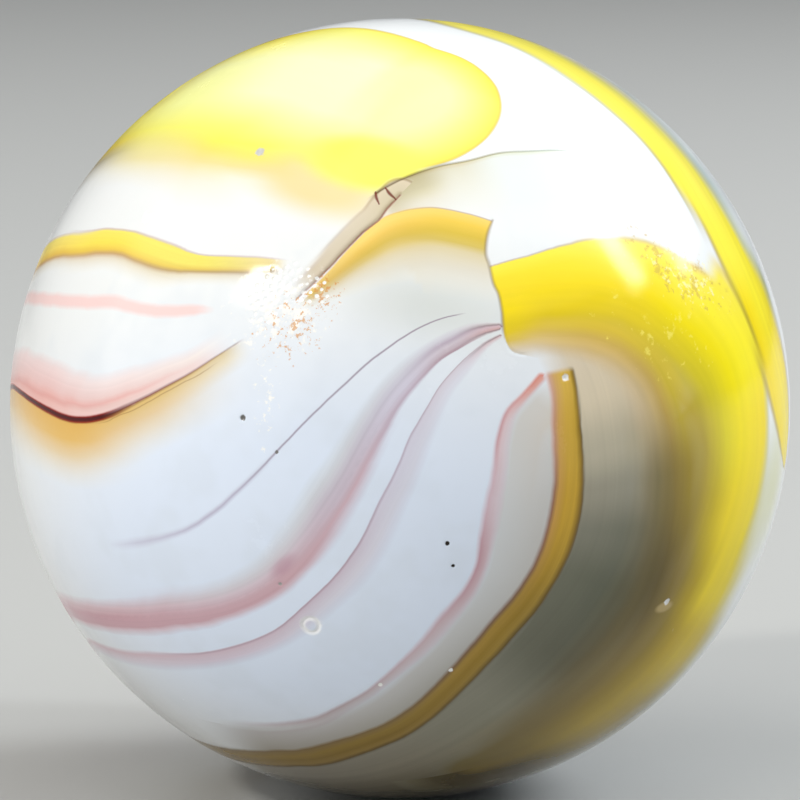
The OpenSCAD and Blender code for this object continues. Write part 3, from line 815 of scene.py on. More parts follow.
class Wash:
    """The nodes of one layer, which work on where a point lies beside the layer's path."""

    CUT_HALVES = 0.6  # half widths of the cutting path, to both sides, over which a cut is soft
    FADE = 1.0  # degrees over which the cover goes out at a limit
    MARGIN = 0.5  # degrees from the last band to the limit
    TRAIL_NOISE = 7.3  # how far apart two paths read the noise
    SECTION_NOISE = 3.1  # how far apart two layers of a path read it, for each section more
    WAVER_SPREAD = 0.15  # noise to a degree away from the path
    STREAK_SLANT = 0.03  # streaks crossed in a degree along the path
    NOISE_RANGE = (0.25, 0.75)  # the noise from the darkest streak to the brightest

    def __init__(self, layer: Layer, draft: NodeDraft) -> None:
        """Starts on a layer.

        Args:
            layer: The layer to lay.
            draft: The nodes of its coat.
        """
        self.layer = layer
        self.draft = draft
        self.path = PATH_OF[layer.trail]
        self.length = self.path.length()
        self.spot = Beside(draft, layer.trail)
        self.along = draft.times(self.spot.share, self.length)
        self.side = draft.math("SIGN", self.spot.halves)
        number = list(Trail).index(layer.trail)
        self.first_noise = self.TRAIL_NOISE * number + self.SECTION_NOISE * len(layer.sections)
        places = [band[0] for section in layer.sections for band in section.bands]
        self.low = min(places)
        self.high = max(places)

    def over(self, under: Socket) -> Socket:
        """Lays the layer over the colour so far and returns the new colour."""
        across = self.across()
        if self.layer.waver:
            across = self.wavered(across)
        colour, cover = self.shades(across)
        cover = self.kept(cover)
        if self.layer.streaks:
            colour = self.streaked(colour)
        return self.draft.blend(cover, under, colour)

    def across(self) -> Socket:
        """How far to the left of the path a point lies, bent round both of the path's ends.

        Returns:
            The distance, in half widths or in degrees.
        """
        draft = self.draft
        if self.layer.measure is Across.DEGREES:
            return draft.times(self.side, self.spot.distance)
        halves = [half / DEGREE for _, half in self.path.stops()]
        before = draft.times(self.along, -1 / halves[0])
        after = draft.scaled_sum(self.along, 1 / halves[-1], -self.length / halves[-1])
        overrun = draft.math("MAXIMUM", draft.math("MAXIMUM", before, after), 0.0)
        return draft.times(self.side, draft.hypot(self.spot.halves, overrun))

    def wavered(self, across: Socket) -> Socket:
        """Moves the places across in and out along the path, each path in its own way."""
        draft = self.draft
        run = draft.scaled_sum(self.along, 1 / self.layer.waver_run, self.first_noise)
        wave = draft.wave(draft.scaled_sum(self.spot.distance, self.WAVER_SPREAD, run), detail=3.0)
        return draft.scaled_sum(draft.math("SUBTRACT", wave, NOISE_MIDDLE), 2.0 * self.layer.waver, across)

    def shades(self, across: Socket) -> tuple[Socket, Socket]:
        """The colour and the cover at a place across, run smoothly from one section to the next."""
        draft = self.draft
        wires = {"Value": across, "From Min": self.low, "From Max": self.high}
        place = draft.add("ShaderNodeMapRange", wires).outputs[0]
        sections = self.layer.sections
        colour, cover = self.ramp(place, sections[0])
        for before, after in zip(sections, sections[1:]):
            share = draft.eased(self.along, before.along, after.along)
            next_colour, next_cover = self.ramp(place, after)
            colour = draft.blend(share, colour, next_colour)
            cover = draft.between(share, cover, next_cover)
        return colour, cover

    def ramp(self, place: Socket, section: Section) -> tuple[Socket, Socket]:
        """A colour ramp over the bands of a section.

        Args:
            place: Place across, from 0 at the layer's lowest band to 1 at its highest.
            section: The section.

        Returns:
            The colour and the cover.
        """
        node = self.draft.add("ShaderNodeValToRGB", {"Fac": place})
        stops = node.color_ramp.elements
        stops.remove(stops[1])
        for number, (across, colour, cover) in enumerate(section.covered()):
            share = (across - self.low) / (self.high - self.low)
            stop = stops.new(share) if number else stops[0]
            stop.position = share
            stop.color = (*linear(colour)[:3], cover)
        return node.outputs["Color"], node.outputs["Alpha"]

    def kept(self, cover: Socket) -> Socket:
        """Takes the cover away past the path's ends, past the paths that cut it and far from the path."""
        draft = self.draft
        layer = self.layer
        if layer.start:
            cover = draft.times(cover, draft.eased(self.along, *layer.start))
        if layer.end:
            low, high = (self.length + place for place in layer.end)
            cover = draft.times(cover, draft.eased(self.along, low, high, 1.0, 0.0))
        for trail, soft in ((layer.left_of, self.CUT_HALVES), (layer.right_of, -self.CUT_HALVES)):
            if trail:
                edge = Beside(draft, trail)
                inside = draft.eased(edge.halves, -soft, soft)
                clear = draft.eased(edge.distance, layer.cut_reach, layer.cut_reach + self.FADE)
                cover = draft.times(cover, draft.math("MAXIMUM", inside, clear))
        limit = self.limit()
        return draft.times(cover, draft.eased(self.spot.distance, limit, limit + self.FADE, 1.0, 0.0))

    def limit(self) -> float:
        """The distance in degrees past which nothing of the layer is left."""
        furthest = max(-self.low, self.high) + self.layer.waver
        if self.layer.measure is Across.HALF_WIDTHS:
            furthest *= max(half for _, _, half in (*self.path.on_face, *self.path.on_rear))
        return furthest + self.MARGIN

    def streaked(self, colour: Socket) -> Socket:
        """Draws the colour out in lines that follow the path and slowly cross it."""
        draft = self.draft
        aside = draft.times(self.side, self.spot.distance)
        slant = draft.scaled_sum(self.along, self.STREAK_SLANT, self.first_noise)
        lines = draft.wave(draft.scaled_sum(aside, 1 / self.layer.streak_width, slant), detail=3.0, rough=0.6)
        low, high = self.NOISE_RANGE
        wires = {"Value": lines, "From Min": low, "From Max": high,
                 "To Min": 1.0 - self.layer.streaks, "To Max": 1.0 + self.layer.streaks}
        value = draft.add("ShaderNodeMapRange", wires).outputs["Result"]
        wires = {"Hue": 0.5, "Saturation": 1.0, "Value": value, "Fac": 1.0, "Color": colour}
        return draft.add("ShaderNodeHueSaturation", wires).outputs[0]


@dataclass(frozen=True)
class Bloom:
    """A soft oval of colour in the glass, or of painted light and shade on it, with its reach in degrees
    along and across its own turn.
    """

    place: Place
    reach: Place
    colour: Rgb
    cover: float = 1.0
    turn: float = 0.0
    hardness: float = 0.0
    behind: bool = False

    def lay(self, draft: NodeDraft, under: Socket) -> Socket:
        """Lays the oval over what is there and returns the new colour."""
        return draft.blend(draft.times(self.share(draft), self.cover), under, linear(self.colour))

    def share(self, draft: NodeDraft) -> Socket:
        """How much of the oval a point gets, from 0 to 1."""
        out = rear(self.place) if self.behind else face(self.place)
        level = UP_DIR.cross(out).normalized()
        turn = math.radians(self.turn)
        along = level * math.cos(turn) + out.cross(level) * math.sin(turn)
        axes = Matrix((along, out.cross(along), out)).transposed()
        wires = {
            "Vector": draft.add("ShaderNodeTexCoord").outputs["Object"],
            "Location": out * BALL_RADIUS,
            "Rotation": axes.to_euler(),
            "Scale": (self.reach[0] * DEGREE, self.reach[1] * DEGREE, max(self.reach) * DEGREE),
        }
        spot = draft.add("ShaderNodeMapping", wires, vector_type="TEXTURE").outputs[0]
        near = draft.add("ShaderNodeTexGradient", {"Vector": spot}, gradient_type="SPHERICAL").outputs["Fac"]
        return draft.eased(near, 0.0, 1.0 - self.hardness)


@dataclass(frozen=True)
class Flecks:
    """Fine uneven flecks, of colour in the glass or of painted sparkle on it, crowded in the middle of a soft
    oval and sparse at its edge.

    Size is in degrees. A fleck shows where the noise is above the level, softly over the softness. Crowding
    is how much that takes off the noise at the oval's edge, where the cover comes in over the edge's share.
    """

    spread: Bloom
    size: float
    crowding: float
    level: float
    softness: float
    detail: float = 2.0
    rough: float = 0.65
    edge: float = 0.25

    def lay(self, draft: NodeDraft, under: Socket) -> Socket:
        """Lays the flecks over what is there and returns the new colour."""
        place = draft.add("ShaderNodeTexCoord").outputs["Object"]
        grain = draft.noise(place, 1 / (self.size * DEGREE), self.detail, self.rough)
        share = self.spread.share(draft)
        crowd = draft.times(draft.math("SUBTRACT", share, 1.0), self.crowding)
        found = draft.eased(draft.math("ADD", grain, crowd), self.level, self.level + self.softness)
        cover = draft.times(found, draft.eased(share, 0.0, self.edge, 0.0, self.spread.cover))
        return draft.blend(cover, under, linear(self.spread.colour))


@dataclass(frozen=True)
class DirtAndGlint:
    """What lies in the pits: bright broken glass in a clean one, which also stands as a painted glint where
    light sparkles off the chips, and dark dirt in a stained one.
    """

    broken_glass_and_glint: Rgb = (250, 250, 248)
    dark: Rgb = (40, 30, 24)
    full: float = 0.6

    def lay(self, draft: NodeDraft, under: Socket) -> Socket:
        """Fills the pits and returns the new colour."""
        read = draft.add("ShaderNodeAttribute", attribute_name=PitField.FIELD)
        share, stain, _ = draft.add("ShaderNodeSeparateXYZ", {0: read.outputs["Vector"]}).outputs
        fill = draft.blend(stain, linear(self.broken_glass_and_glint), linear(self.dark))
        return draft.blend(draft.eased(share, 1.0, self.full), under, fill)


Coat = Layer | Bloom | Flecks | DirtAndGlint


def plain(colour: Rgb, soft: float, cover: float = 1.0) -> tuple[Section, ...]:
    """One section of a single colour with soft edges."""
    outer = 1.0 + soft
    inner = 1.0 - soft
    bands = ((-outer, colour), (-inner, colour, cover), (inner, colour, cover), (outer, colour))
    return (Section(0.0, bands),)


COATS: tuple[Coat, ...] = (
    Bloom((-14, -24), (66, 44), MILK, 1, hardness=0.35),
    # Painted light: the upper right a little brighter, where the light falls.
    Bloom((24, 52), (44, 26), (240, 242, 242), 0.9),
    Flecks(Bloom((-10, -20), (80, 60), (214, 222, 232), 0.22), 9, 0.1, 0.42, 0.25),
    Bloom((-46, 8), (46, 34), (214, 218, 216), 0.85, 25, behind=True),
    Bloom((-68, -14), (36, 11), (232, 224, 184), 0.75, -72, behind=True),
    Bloom((-54, 20), (40, 7), (196, 200, 196), 0.6, -58, behind=True),
    Bloom((10, -36), (48, 26), MILK, 0.9, -15, behind=True),
    Bloom((-30, -30), (34, 16), (178, 178, 164), 0.8, -35, behind=True),
    Bloom((22, 18), (36, 15), (238, 228, 200), 0.7, 30, behind=True),
    Bloom((-14, 36), (20, 9), (226, 222, 196), 0.7, 60, behind=True),
    Bloom((34, -16), (30, 7), (226, 206, 208), 0.6, 22, behind=True),
    # Smoky grey glass, partly painted shade: the sections turn darker, through stone and ash to bark, toward
    # the bottom of the ball where shade falls.
    Layer(Trail.SMOKE_AND_SHADE_FIELD, (
        Section(0, ((-1.4, FAWN), (-0.7, (216, 200, 172), 0.9), (0.5, FAWN, 0.9), (1.3, FAWN))),
        Section(7, ((-1.5, (220, 207, 182)), (-0.9, (220, 207, 182)), (0.2, (216, 201, 174)), (0.9, FAWN),
            (1.6, TAN))),
        Section(15, ((-1.6, (200, 190, 168)), (-1, (192, 184, 163)), (0, (186, 178, 156)),
            (0.8, (172, 156, 118)), (1.4, MOSS))),
        Section(21, ((-1.6, (176, 168, 146)), (-1, (164, 158, 141)), (0, (158, 154, 137)),
            (0.8, (150, 136, 98)), (1.4, MOSS))),
        Section(28, ((-1.5, STONE), (-1, (142, 140, 125)), (0, (124, 124, 108)), (0.8, (122, 110, 76)),
            (1.5, BARK))),
        Section(36, ((-1.4, STONE), (-1, (124, 124, 108)), (0, (104, 106, 90)), (0.8, (104, 94, 60)),
            (1.6, BARK))),
        Section(47, ((-1.3, ASH), (-1, (118, 118, 103)), (0, (104, 104, 88)), (0.8, (110, 98, 64)),
            (1.6, BARK))),
        Section(60, ((-1.3, ASH), (-1, (142, 140, 126)), (0, (136, 134, 117)), (0.7, (142, 130, 98)),
            (1.5, BARK))),
        Section(80, ((-1.4, ASH), (-1, (148, 144, 131)), (0, (136, 129, 112)), (1.2, (100, 92, 68)),
            (2.2, UMBER, 0.9), (2.8, UMBER))),
        Section(100, ((-1.4, ASH), (-1, (144, 138, 126)), (1.5, (120, 114, 100)), (2.6, ASH))),
    ), waver=0.08, streaks=0.05, streak_width=2.2, end=(-4, 6)),
    Layer(Trail.LOW_THREAD, (
        Section(0, ((-0.5, DOVE), (1.5, (214, 210, 204), 0.9), (5, (216, 208, 198), 0.9), (9, DOVE))),
        Section(24, ((-0.5, DOVE), (1.5, DOVE, 0.8), (7.5, (202, 200, 197)), (11, DOVE))),
        Section(48, ((-0.5, DOVE), (2, (198, 195, 192), 0.9), (6.5, (176, 174, 167)),
            (10, (176, 175, 169)))),
        Section(70, ((-1.5, DOVE), (1, (192, 188, 186), 0.9), (6, (172, 166, 156)), (10, ASH))),
    ), measure=Across.DEGREES, start=(-1, 3), end=(-6, 6)),
    # The tongue: yellow glass whose pale, whitened middle is painted highlight; its olive and citrine edges
    # are its own colour.
    Layer(Trail.TONGUE, (
        Section(0, ((-1.015, OLIVE), (-1, CITRINE, 0.9), (-0.96, (238, 234, 96)), (-0.8, (230, 233, 126)),
            (-0.5, (233, 237, 172)), (0.5, (233, 237, 172)), (0.8, (230, 233, 126)), (0.96, (238, 234, 96)),
            (1, CITRINE, 0.9), (1.015, OLIVE))),
        Section(3, ((-1.015, OLIVE), (-1, CITRINE, 0.9), (-0.96, (239, 235, 94)), (-0.76, (230, 233, 130)),
            (-0.4, (234, 238, 174)), (0.45, (236, 239, 186)), (0.82, (237, 236, 140)),
            (0.98, (239, 236, 102)), (1.08, (236, 228, 90)), (1.14, (236, 220, 110)))),
        Section(7, ((-1.015, OLIVE), (-1, CITRINE, 0.9), (-0.96, (240, 236, 96)), (-0.72, (234, 237, 142)),
            (-0.35, HIGHLIT_LEMON), (0.45, HIGHLIT_LEMON), (0.82, (238, 236, 140)), (0.98, (240, 236, 100)),
            (1.14, (238, 228, 92)), (1.24, (232, 212, 120), 0.8), (1.36, PEACH))),
        Section(17, ((-1.02, OLIVE), (-1, CITRINE, 0.9), (-0.95, (244, 240, 110)), (-0.62, (240, 241, 160)),
            (-0.2, HIGHLIT_LEMON), (0.38, HIGHLIT_LEMON), (0.8, (240, 238, 126)), (1, (238, 233, 96)),
            (1.1, (238, 222, 110)), (1.24, (236, 218, 150)), (1.45, (236, 226, 200), 0.6), (1.75, CREAM))),
        Section(34, ((-1.03, OLIVE), (-1, CITRINE), (-0.8, SUNFLOWER), (-0.2, (246, 246, 170)),
            (0.5, (244, 246, 158)), (0.88, (244, 240, 116)), (1.04, (238, 228, 134)), (1.3, PEACH, 0.9),
            (1.66, CREAM))),
        Section(50, ((-1.04, OLIVE), (-1, CITRINE), (-0.8, YELLOW), (0.1, SUNFLOWER), (0.7, (240, 226, 76)),
            (0.95, CITRINE), (1.15, OLIVE, 0.7), (1.5, CREAM))),
    ), waver=0.02, waver_run=14, streaks=0.012, streak_width=4, left_of=Trail.FOLD_TOP, cut_reach=13),
    Bloom((-12, 33), (15, 7), (238, 214, 150), 0.9, -20, 0.3),
    Bloom((-4.5, 36), (12, 6), (241, 234, 106), 1, -16, 0.5),
    # Painted shade: a grey veil below the amber hook.
    Bloom((5, 14.5), (21, 8.5), (212, 216, 212), 0.75, -10),
    # Partly painted shade: the glass beside the fold darkens toward the crease line; the khaki tint is the
    # glass's own.
    Layer(Trail.FOLD_TOP, (
        Section(0, ((-9, (224, 216, 190)), (-5, (214, 204, 176), 0.7), (-2, (192, 182, 150)),
            (-0.4, (172, 158, 118)), (-0.05, (150, 134, 94)), (0.15, OLIVE))),
        Section(6, ((-9, (228, 222, 202)), (-4.6, (220, 212, 188), 0.7), (-2.4, (200, 192, 160)),
            (-0.6, (186, 176, 140)), (-0.05, (160, 144, 100)), (0.15, OLIVE))),
        Section(12, ((-10, (230, 228, 216)), (-4.5, (226, 224, 210), 0.8), (-0.9, (216, 212, 192)),
            (-0.1, (200, 184, 142), 0.9), (0.15, OLIVE))),
        Section(19, ((-13, (228, 233, 234)), (-8, (226, 231, 231), 0.7), (-0.8, (222, 226, 222), 0.9),
            (-0.1, (208, 210, 184), 0.9), (0.15, TEAL))),
    ), measure=Across.DEGREES, start=(-2, 1), end=(-10, 2)),
    Layer(Trail.CRESCENT, (
        Section(1, ((-1.75, FAWN), (-1.4, (222, 200, 160), 0.8), (-1.15, (224, 196, 90)), (-0.9, CITRINE),
            (-0.3, BRASS), (0.6, YELLOW), (0.96, SUNFLOWER), (1, RUSSET, 0.5), (1.04, WHITE))),
        Section(7, ((-1.7, FAWN), (-1.3, (222, 198, 150), 0.7), (-1, (220, 189, 100)), (-0.6, CITRINE),
            (0, BRASS), (0.6, YELLOW), (0.96, SUNFLOWER), (1, PLUM, 0.55), (1.04, WHITE))),
        Section(20, ((-1.2, TAN), (-0.95, (212, 180, 84), 0.9), (-0.5, (222, 196, 50)), (0.1, BRASS),
            (0.6, (254, 232, 64)), (0.96, (252, 236, 100)), (1.02, (220, 196, 110), 0.8), (1.1, WHITE))),
        Section(30, ((-1.1, TAN), (-0.85, (206, 178, 84), 0.9), (-0.42, (215, 193, 52)),
            (0.12, (246, 224, 28)), (0.5, (254, 235, 70)), (0.92, (253, 236, 104)),
            (1, (232, 206, 110), 0.9), (1.12, WHITE))),
        Section(35, ((-1.1, MOSS), (-0.82, (194, 170, 76), 0.9), (-0.38, (214, 196, 48)),
            (0.15, (248, 227, 24)), (0.6, (254, 237, 58)), (1.2, (250, 232, 84)),
            (1.36, (236, 214, 100), 0.8), (1.5, (236, 226, 180)))),
        Section(41, ((-1.5, (166, 148, 96)), (-1.1, (172, 152, 82), 0.9), (-0.8, (186, 164, 70)),
            (-0.35, (214, 198, 46)), (0.2, (248, 229, 22)), (0.7, (254, 238, 48)), (1.7, (250, 232, 60)),
            (1.95, CITRINE))),
        Section(49, ((-1.7, (150, 132, 80)), (-1.2, (160, 142, 74), 0.9), (-0.75, (184, 163, 66)),
            (-0.2, (228, 213, 44)), (0.25, (249, 228, 10)), (1.15, BRASS), (1.28, (214, 200, 60), 0.8),
            (1.42, TEAL))),
        Section(61, ((-1.7, OLIVE), (-1.2, (140, 124, 66), 0.9), (-0.85, (172, 150, 60)),
            (-0.4, (206, 182, 34)), (0.1, (244, 217, 2)), (1.05, (238, 214, 8)), (1.2, (214, 196, 40), 0.9),
            (1.45, (206, 200, 120), 0.7), (2.3, (214, 214, 184)))),
        Section(72, ((-1.3, BARK), (-0.9, (136, 116, 56), 0.9), (-0.55, (158, 136, 50)),
            (-0.15, (184, 158, 14)), (0.4, (236, 210, 0)), (1.2, (228, 204, 8)), (1.6, (212, 196, 70), 0.8),
            (2.5, (214, 212, 176)))),
        # From this section on, the yellow darkens toward the ball's bottom: partly painted shade.
        Section(80, ((-1.4, BARK), (-0.9, (122, 106, 60), 0.9), (-0.4, (150, 128, 50)),
            (0.2, (188, 160, 26)), (0.8, (210, 182, 10)), (1.4, (206, 178, 12)), (1.9, (190, 172, 70), 0.8),
            (2.8, (206, 202, 168)))),
        Section(94, ((-1.5, ASH), (-1, (122, 108, 68), 0.9), (-0.4, (152, 130, 56)), (0.3, (179, 154, 52)),
            (1.1, (164, 140, 44)), (1.8, (134, 116, 52), 0.9), (2.4, (150, 140, 100), 0.6),
            (3.1, (190, 186, 160)))),
        Section(110, ((-1.8, ASH), (-0.9, (118, 104, 62), 0.9), (0.2, (120, 102, 50)), (0.9, (84, 72, 42)),
            (1.8, (92, 82, 56), 0.9), (2.6, (134, 126, 98), 0.5), (3.3, (180, 176, 154)))),
    ), waver=0.04, streaks=0.03, streak_width=2.6, left_of=Trail.SEAM, cut_reach=10),
    Layer(Trail.BRONZE_HAZE, (
        Section(0, ((-1.4, FAWN), (-0.5, (222, 194, 132), 0.6), (0.3, (222, 192, 100), 0.6),
            (1.2, CITRINE))),
        Section(12, ((-1.5, (212, 188, 144)), (-0.6, (214, 184, 120), 0.9), (0.1, (214, 181, 92)),
            (0.7, (222, 192, 62), 0.8), (1.4, CITRINE))),
        Section(24, ((-1.6, FAWN), (-0.7, (205, 182, 138), 0.9), (0, (201, 170, 92)),
            (0.6, (208, 184, 62), 0.9), (1.3, CITRINE))),
        Section(37, ((-1.6, (140, 128, 96)), (-0.8, (132, 120, 82), 0.9), (0, (142, 122, 62)),
            (0.7, (160, 138, 52)), (1.6, MOSS))),
        Section(53, ((-1.4, BARK), (-0.6, (104, 93, 58), 0.9), (0, (104, 90, 50)),
            (0.7, (132, 112, 50), 0.9), (1.6, OLIVE))),
        Section(68, ((-1.4, BARK), (-0.5, (126, 114, 78), 0.9), (0.3, (134, 116, 66), 0.9), (1.4, OLIVE))),
        Section(90, ((-1.4, BARK), (0, (122, 106, 62), 0.6), (1.4, OLIVE))),
    ), waver=0.12, streaks=0.04, streak_width=2, start=(-2, 5), end=(-12, 0)),
    Bloom((72, -15), (9, 17), (214, 214, 170), 0.8, 10),
    Layer(Trail.OUTER_RIBBON, (
        Section(86, ((-1.5, OLIVE), (-1.18, OLIVE, 0.8), (-1, CITRINE), (-0.7, SUNFLOWER), (0.6, YELLOW),
            (1.1, CITRINE), (1.4, (190, 180, 120), 0.6), (2.4, (204, 204, 190), 0.3),
            (4.4, (216, 222, 220)))),
        Section(112, ((-1.4, TEAL), (-1.15, (220, 212, 130)), (-0.8, (244, 232, 90)), (0.4, (240, 226, 70)),
            (1, (214, 206, 110)), (1.5, (204, 194, 158)), (2.4, (200, 198, 182), 0.9),
            (4.4, (216, 222, 220)))),
        Section(130, ((-1.55, TEAL), (-1.4, (206, 200, 150), 0.9), (-1.15, (244, 234, 96)),
            (0.3, (250, 236, 84)), (1.1, (222, 214, 96)), (1.8, (204, 198, 156)),
            (2.5, (192, 198, 188), 0.9), (4.4, (214, 222, 220)))),
        Section(143, ((-1.5, TEAL), (-1.36, (196, 180, 90), 0.9), (-1.1, (250, 236, 80)),
            (0.4, (254, 239, 90)), (1.3, (236, 222, 80)), (1.9, (190, 190, 150)),
            (2.6, (178, 194, 190), 0.8), (4.2, (214, 222, 220)))),
        Section(155, ((-1.1, BRONZE), (-0.9, (196, 176, 50), 0.9), (-0.66, SUNFLOWER),
            (0.6, (254, 240, 70)), (1.4, (242, 224, 50)), (2, (186, 190, 140), 0.8),
            (3.4, (214, 222, 220)))),
        Section(165, ((-0.98, OLIVE), (-0.76, (176, 156, 44), 0.9), (-0.5, BRASS), (0.6, (254, 236, 40)),
            (1.7, (242, 222, 30)), (2.4, (170, 170, 90), 0.8), (3, TEAL))),
        Section(176, ((-1.4, OLIVE), (-1.12, MOSS, 0.9), (-0.85, BRASS), (0.6, (252, 228, 16)),
            (1.8, (238, 212, 6)), (2.4, OLIVE, 0.5), (2.8, TEAL))),
    ), waver=0.04, streaks=0.04, streak_width=2),
    Flecks(Bloom((44.5, 22), (15, 6.5), (206, 172, 88), 0.55, -28), 1.3, 0.14, 0.46, 0.1, 5),
    # Partly painted reflection: pale flecks where the window's reflection breaks up over the crescent's top,
    # among the glass's own gold speckle.
    Flecks(Bloom((46, 21), (13, 6), (255, 248, 190), 0.7, -25), 1.1, 0.14, 0.5, 0.1, 5),
    Flecks(Bloom((41, 12), (20, 14), (255, 242, 120), 0.5), 1.6, 0.1, 0.56, 0.12, 4),
    Layer(Trail.SALMON_FIELD, (
        Section(0, ((-1.5, BLUSH), (-0.4, (241, 230, 226), 0.9), (0.9, BLUSH), (1.3, BLUSH))),
        Section(20, ((-1.3, BLUSH), (-0.7, (238, 222, 222), 0.95), (0, (234, 206, 204)),
            (0.3, (230, 180, 176)), (0.5, (234, 200, 196)), (1.2, BLUSH), (1.4, BLUSH))),
        Section(40, ((-1.25, BLUSH), (-0.85, (238, 216, 216)), (-0.1, (234, 196, 194)),
            (0.3, (228, 168, 162)), (0.6, (232, 186, 180)), (1.3, (230, 180, 176)), (1.5, SALMON))),
    ), waver=0.12, waver_run=6, streaks=0.03, streak_width=0.9, start=(-2, 6)),
    Layer(Trail.OXBLOOD_LINE, (
        Section(0, ((-0.1, AMBER), (0.25, (214, 190, 130), 0.8), (1.6, (230, 210, 160), 0.6), (3.6, SAND))),
        Section(18, ((-0.1, AMBER), (0.2, TAN), (2.4, (227, 197, 144), 0.9), (4.4, (232, 211, 172), 0.65),
            (8, CREAM))),
        Section(34, ((-0.1, AMBER), (0.2, (224, 178, 92)), (3, (229, 187, 108)),
            (5.2, (231, 202, 148), 0.85), (10, CREAM))),
        Section(60, ((-0.1, AMBER), (0.2, (222, 180, 104)), (3, (230, 198, 142), 0.9), (10, CREAM))),
    ), measure=Across.DEGREES, waver=0.3, start=(-1, 4), end=(-20, 0)),
    Layer(Trail.PINK_THREAD, plain(PINK, 0.45), start=(-1, 3), waver=0.25, waver_run=5),
    Layer(Trail.LEFT_RIBBON, (
        Section(0, ((-1.25, DUSK), (-1.05, DUSK, 0.35), (-0.8, (228, 212, 158)), (0.5, (226, 206, 140)),
            (1, (160, 130, 80), 0.8), (1.6, (209, 200, 180), 0.6), (3.2, CREAM))),
        Section(14, ((-1.18, DUSK), (-1.02, DUSK, 0.5), (-0.85, (238, 226, 104)), (0.2, (238, 224, 106)),
            (0.7, (226, 198, 92)), (1, (180, 146, 76), 0.9), (1.35, (222, 208, 172), 0.7), (2.6, CREAM))),
        Section(34, ((-1.1, DUSK), (-0.98, (190, 160, 130), 0.6), (-0.82, (246, 230, 106)),
            (0.1, (244, 224, 90)), (0.65, (234, 200, 84)), (0.95, (196, 152, 84), 0.9), (1.3, SAND, 0.7),
            (2.4, CREAM))),
        Section(50, ((-0.9, DUSK), (-0.78, SAND, 0.7), (-0.6, (252, 232, 118)), (0.1, (250, 222, 104)),
            (0.55, (236, 196, 84)), (0.8, (200, 156, 80), 0.9), (1.1, SAND, 0.5), (1.8, CREAM))),
    ), start=(-0.6, 2.5), streaks=0.04, waver=0.07, waver_run=6),
    Layer(Trail.OXBLOOD_LINE, (
        Section(0, ((-1, MAROON), (0, MAROON, 0.5), (1, MAROON))),
        Section(18, ((-1, MAROON), (0, (120, 50, 44), 0.9), (1, RUSSET))),
        Section(27, ((-1.3, (216, 110, 100)), (-0.75, (140, 28, 24)), (-0.35, OXBLOOD),
            (0.35, (84, 12, 10)), (0.8, (150, 50, 22)), (1.3, RUSSET))),
    ), waver=0.12, waver_run=5, start=(-0.5, 1.5)),
    Layer(Trail.OXBLOOD_LINE, (
        Section(0, ((0.6, BRONZE), (0.75, RUSSET, 0.5), (0.9, BRONZE))),
    ), measure=Across.DEGREES, waver=0.25, waver_run=6, start=(4, 8), end=(-128, -122)),
    Layer(Trail.HOOK, (
        Section(0, ((-4.5, CREAM), (-2.4, (222, 212, 190), 0.6), (-1.1, (212, 188, 126), 0.9),
            (-0.3, (215, 183, 104)), (0.8, (226, 194, 112)), (1.2, (200, 160, 100)))),
        Section(12, ((-4.6, CREAM), (-3, (224, 217, 198), 0.75), (-1.8, (220, 205, 166), 0.9),
            (-1.1, (216, 192, 112)), (-0.6, (212, 181, 76)), (0, (232, 194, 86)), (0.6, HONEY), (1, HONEY),
            (1.1, (208, 168, 110)))),
        Section(24, ((-4.2, CREAM), (-2.4, (222, 212, 188), 0.7), (-1.4, (218, 202, 156), 0.9),
            (-0.95, (214, 190, 96)), (-0.4, (218, 188, 70)), (0.3, (238, 202, 80)), (0.9, HONEY),
            (0.98, RUSSET, 0.5), (1.06, WHITE))),
    ), waver=0.04, streaks=0.02, streak_width=2, right_of=Trail.SEAM, cut_reach=14),
    Layer(Trail.FOLD, (
        Section(0, ((-0.1, DUSK), (0.1, (196, 176, 154)), (0.7, (214, 200, 180)), (1.5, (206, 192, 168)),
            (1.9, (178, 150, 128), 0.4), (2.3, CREAM))),
        Section(10, ((-0.1, DUSK), (0.1, (190, 174, 150)), (0.9, (212, 200, 178)), (2.1, (216, 204, 184)),
            (2.5, (178, 158, 136), 0.4), (2.9, CREAM))),
        Section(19, ((-0.4, DUSK), (0, (186, 168, 136), 0.9), (0.8, (208, 196, 168)),
            (2.3, (214, 200, 174)), (2.7, (150, 120, 94), 0.5), (3.1, CREAM))),
    ), measure=Across.DEGREES, start=(-0.3, 5), waver=0.1, waver_run=4),
    Layer(Trail.GREY_THREAD, (
        Section(0, ((-0.6, PLUM), (0, PLUM, 0.85), (0.6, PLUM))),
        Section(30, ((-0.65, PLUM), (0, PLUM, 0.75), (0.65, PLUM))),
        Section(46, ((-1.4, (170, 156, 180)), (0, (160, 140, 170), 0.6), (1.4, (180, 170, 196)))),
        Section(60, ((-2, MAUVE), (0, (180, 170, 196), 0.5), (2, MAUVE))),
    ), waver=0.3, waver_run=5, start=(-0.5, 2), end=(-8, 3)),
    Layer(Trail.ROSE_RIBBON, (
        Section(0, ((-1.6, ROSE), (-0.9, MAROON, 0.7), (-0.5, ROSE, 0.8), (0.2, (204, 160, 160), 0.9),
            (0.5, MAROON, 0.7), (0.9, ROSE))),
        Section(7, ((-2, MAUVE), (-1.3, (206, 200, 212), 0.7), (-0.75, (186, 168, 186), 0.9),
            (-0.2, (206, 194, 204), 0.9), (0.45, (198, 180, 190)), (0.8, (160, 116, 132), 0.8),
            (1, MAUVE))),
        Section(16, ((-2, (210, 214, 222)), (-1.2, (212, 212, 222), 0.8), (-0.5, (202, 196, 212), 0.9),
            (0.1, (212, 206, 222), 0.9), (0.7, (192, 172, 190), 0.9), (1.1, MAUVE))),
        Section(32, ((-2.2, (210, 216, 216)), (-1.2, (210, 210, 216), 0.8), (-0.5, (202, 192, 206)),
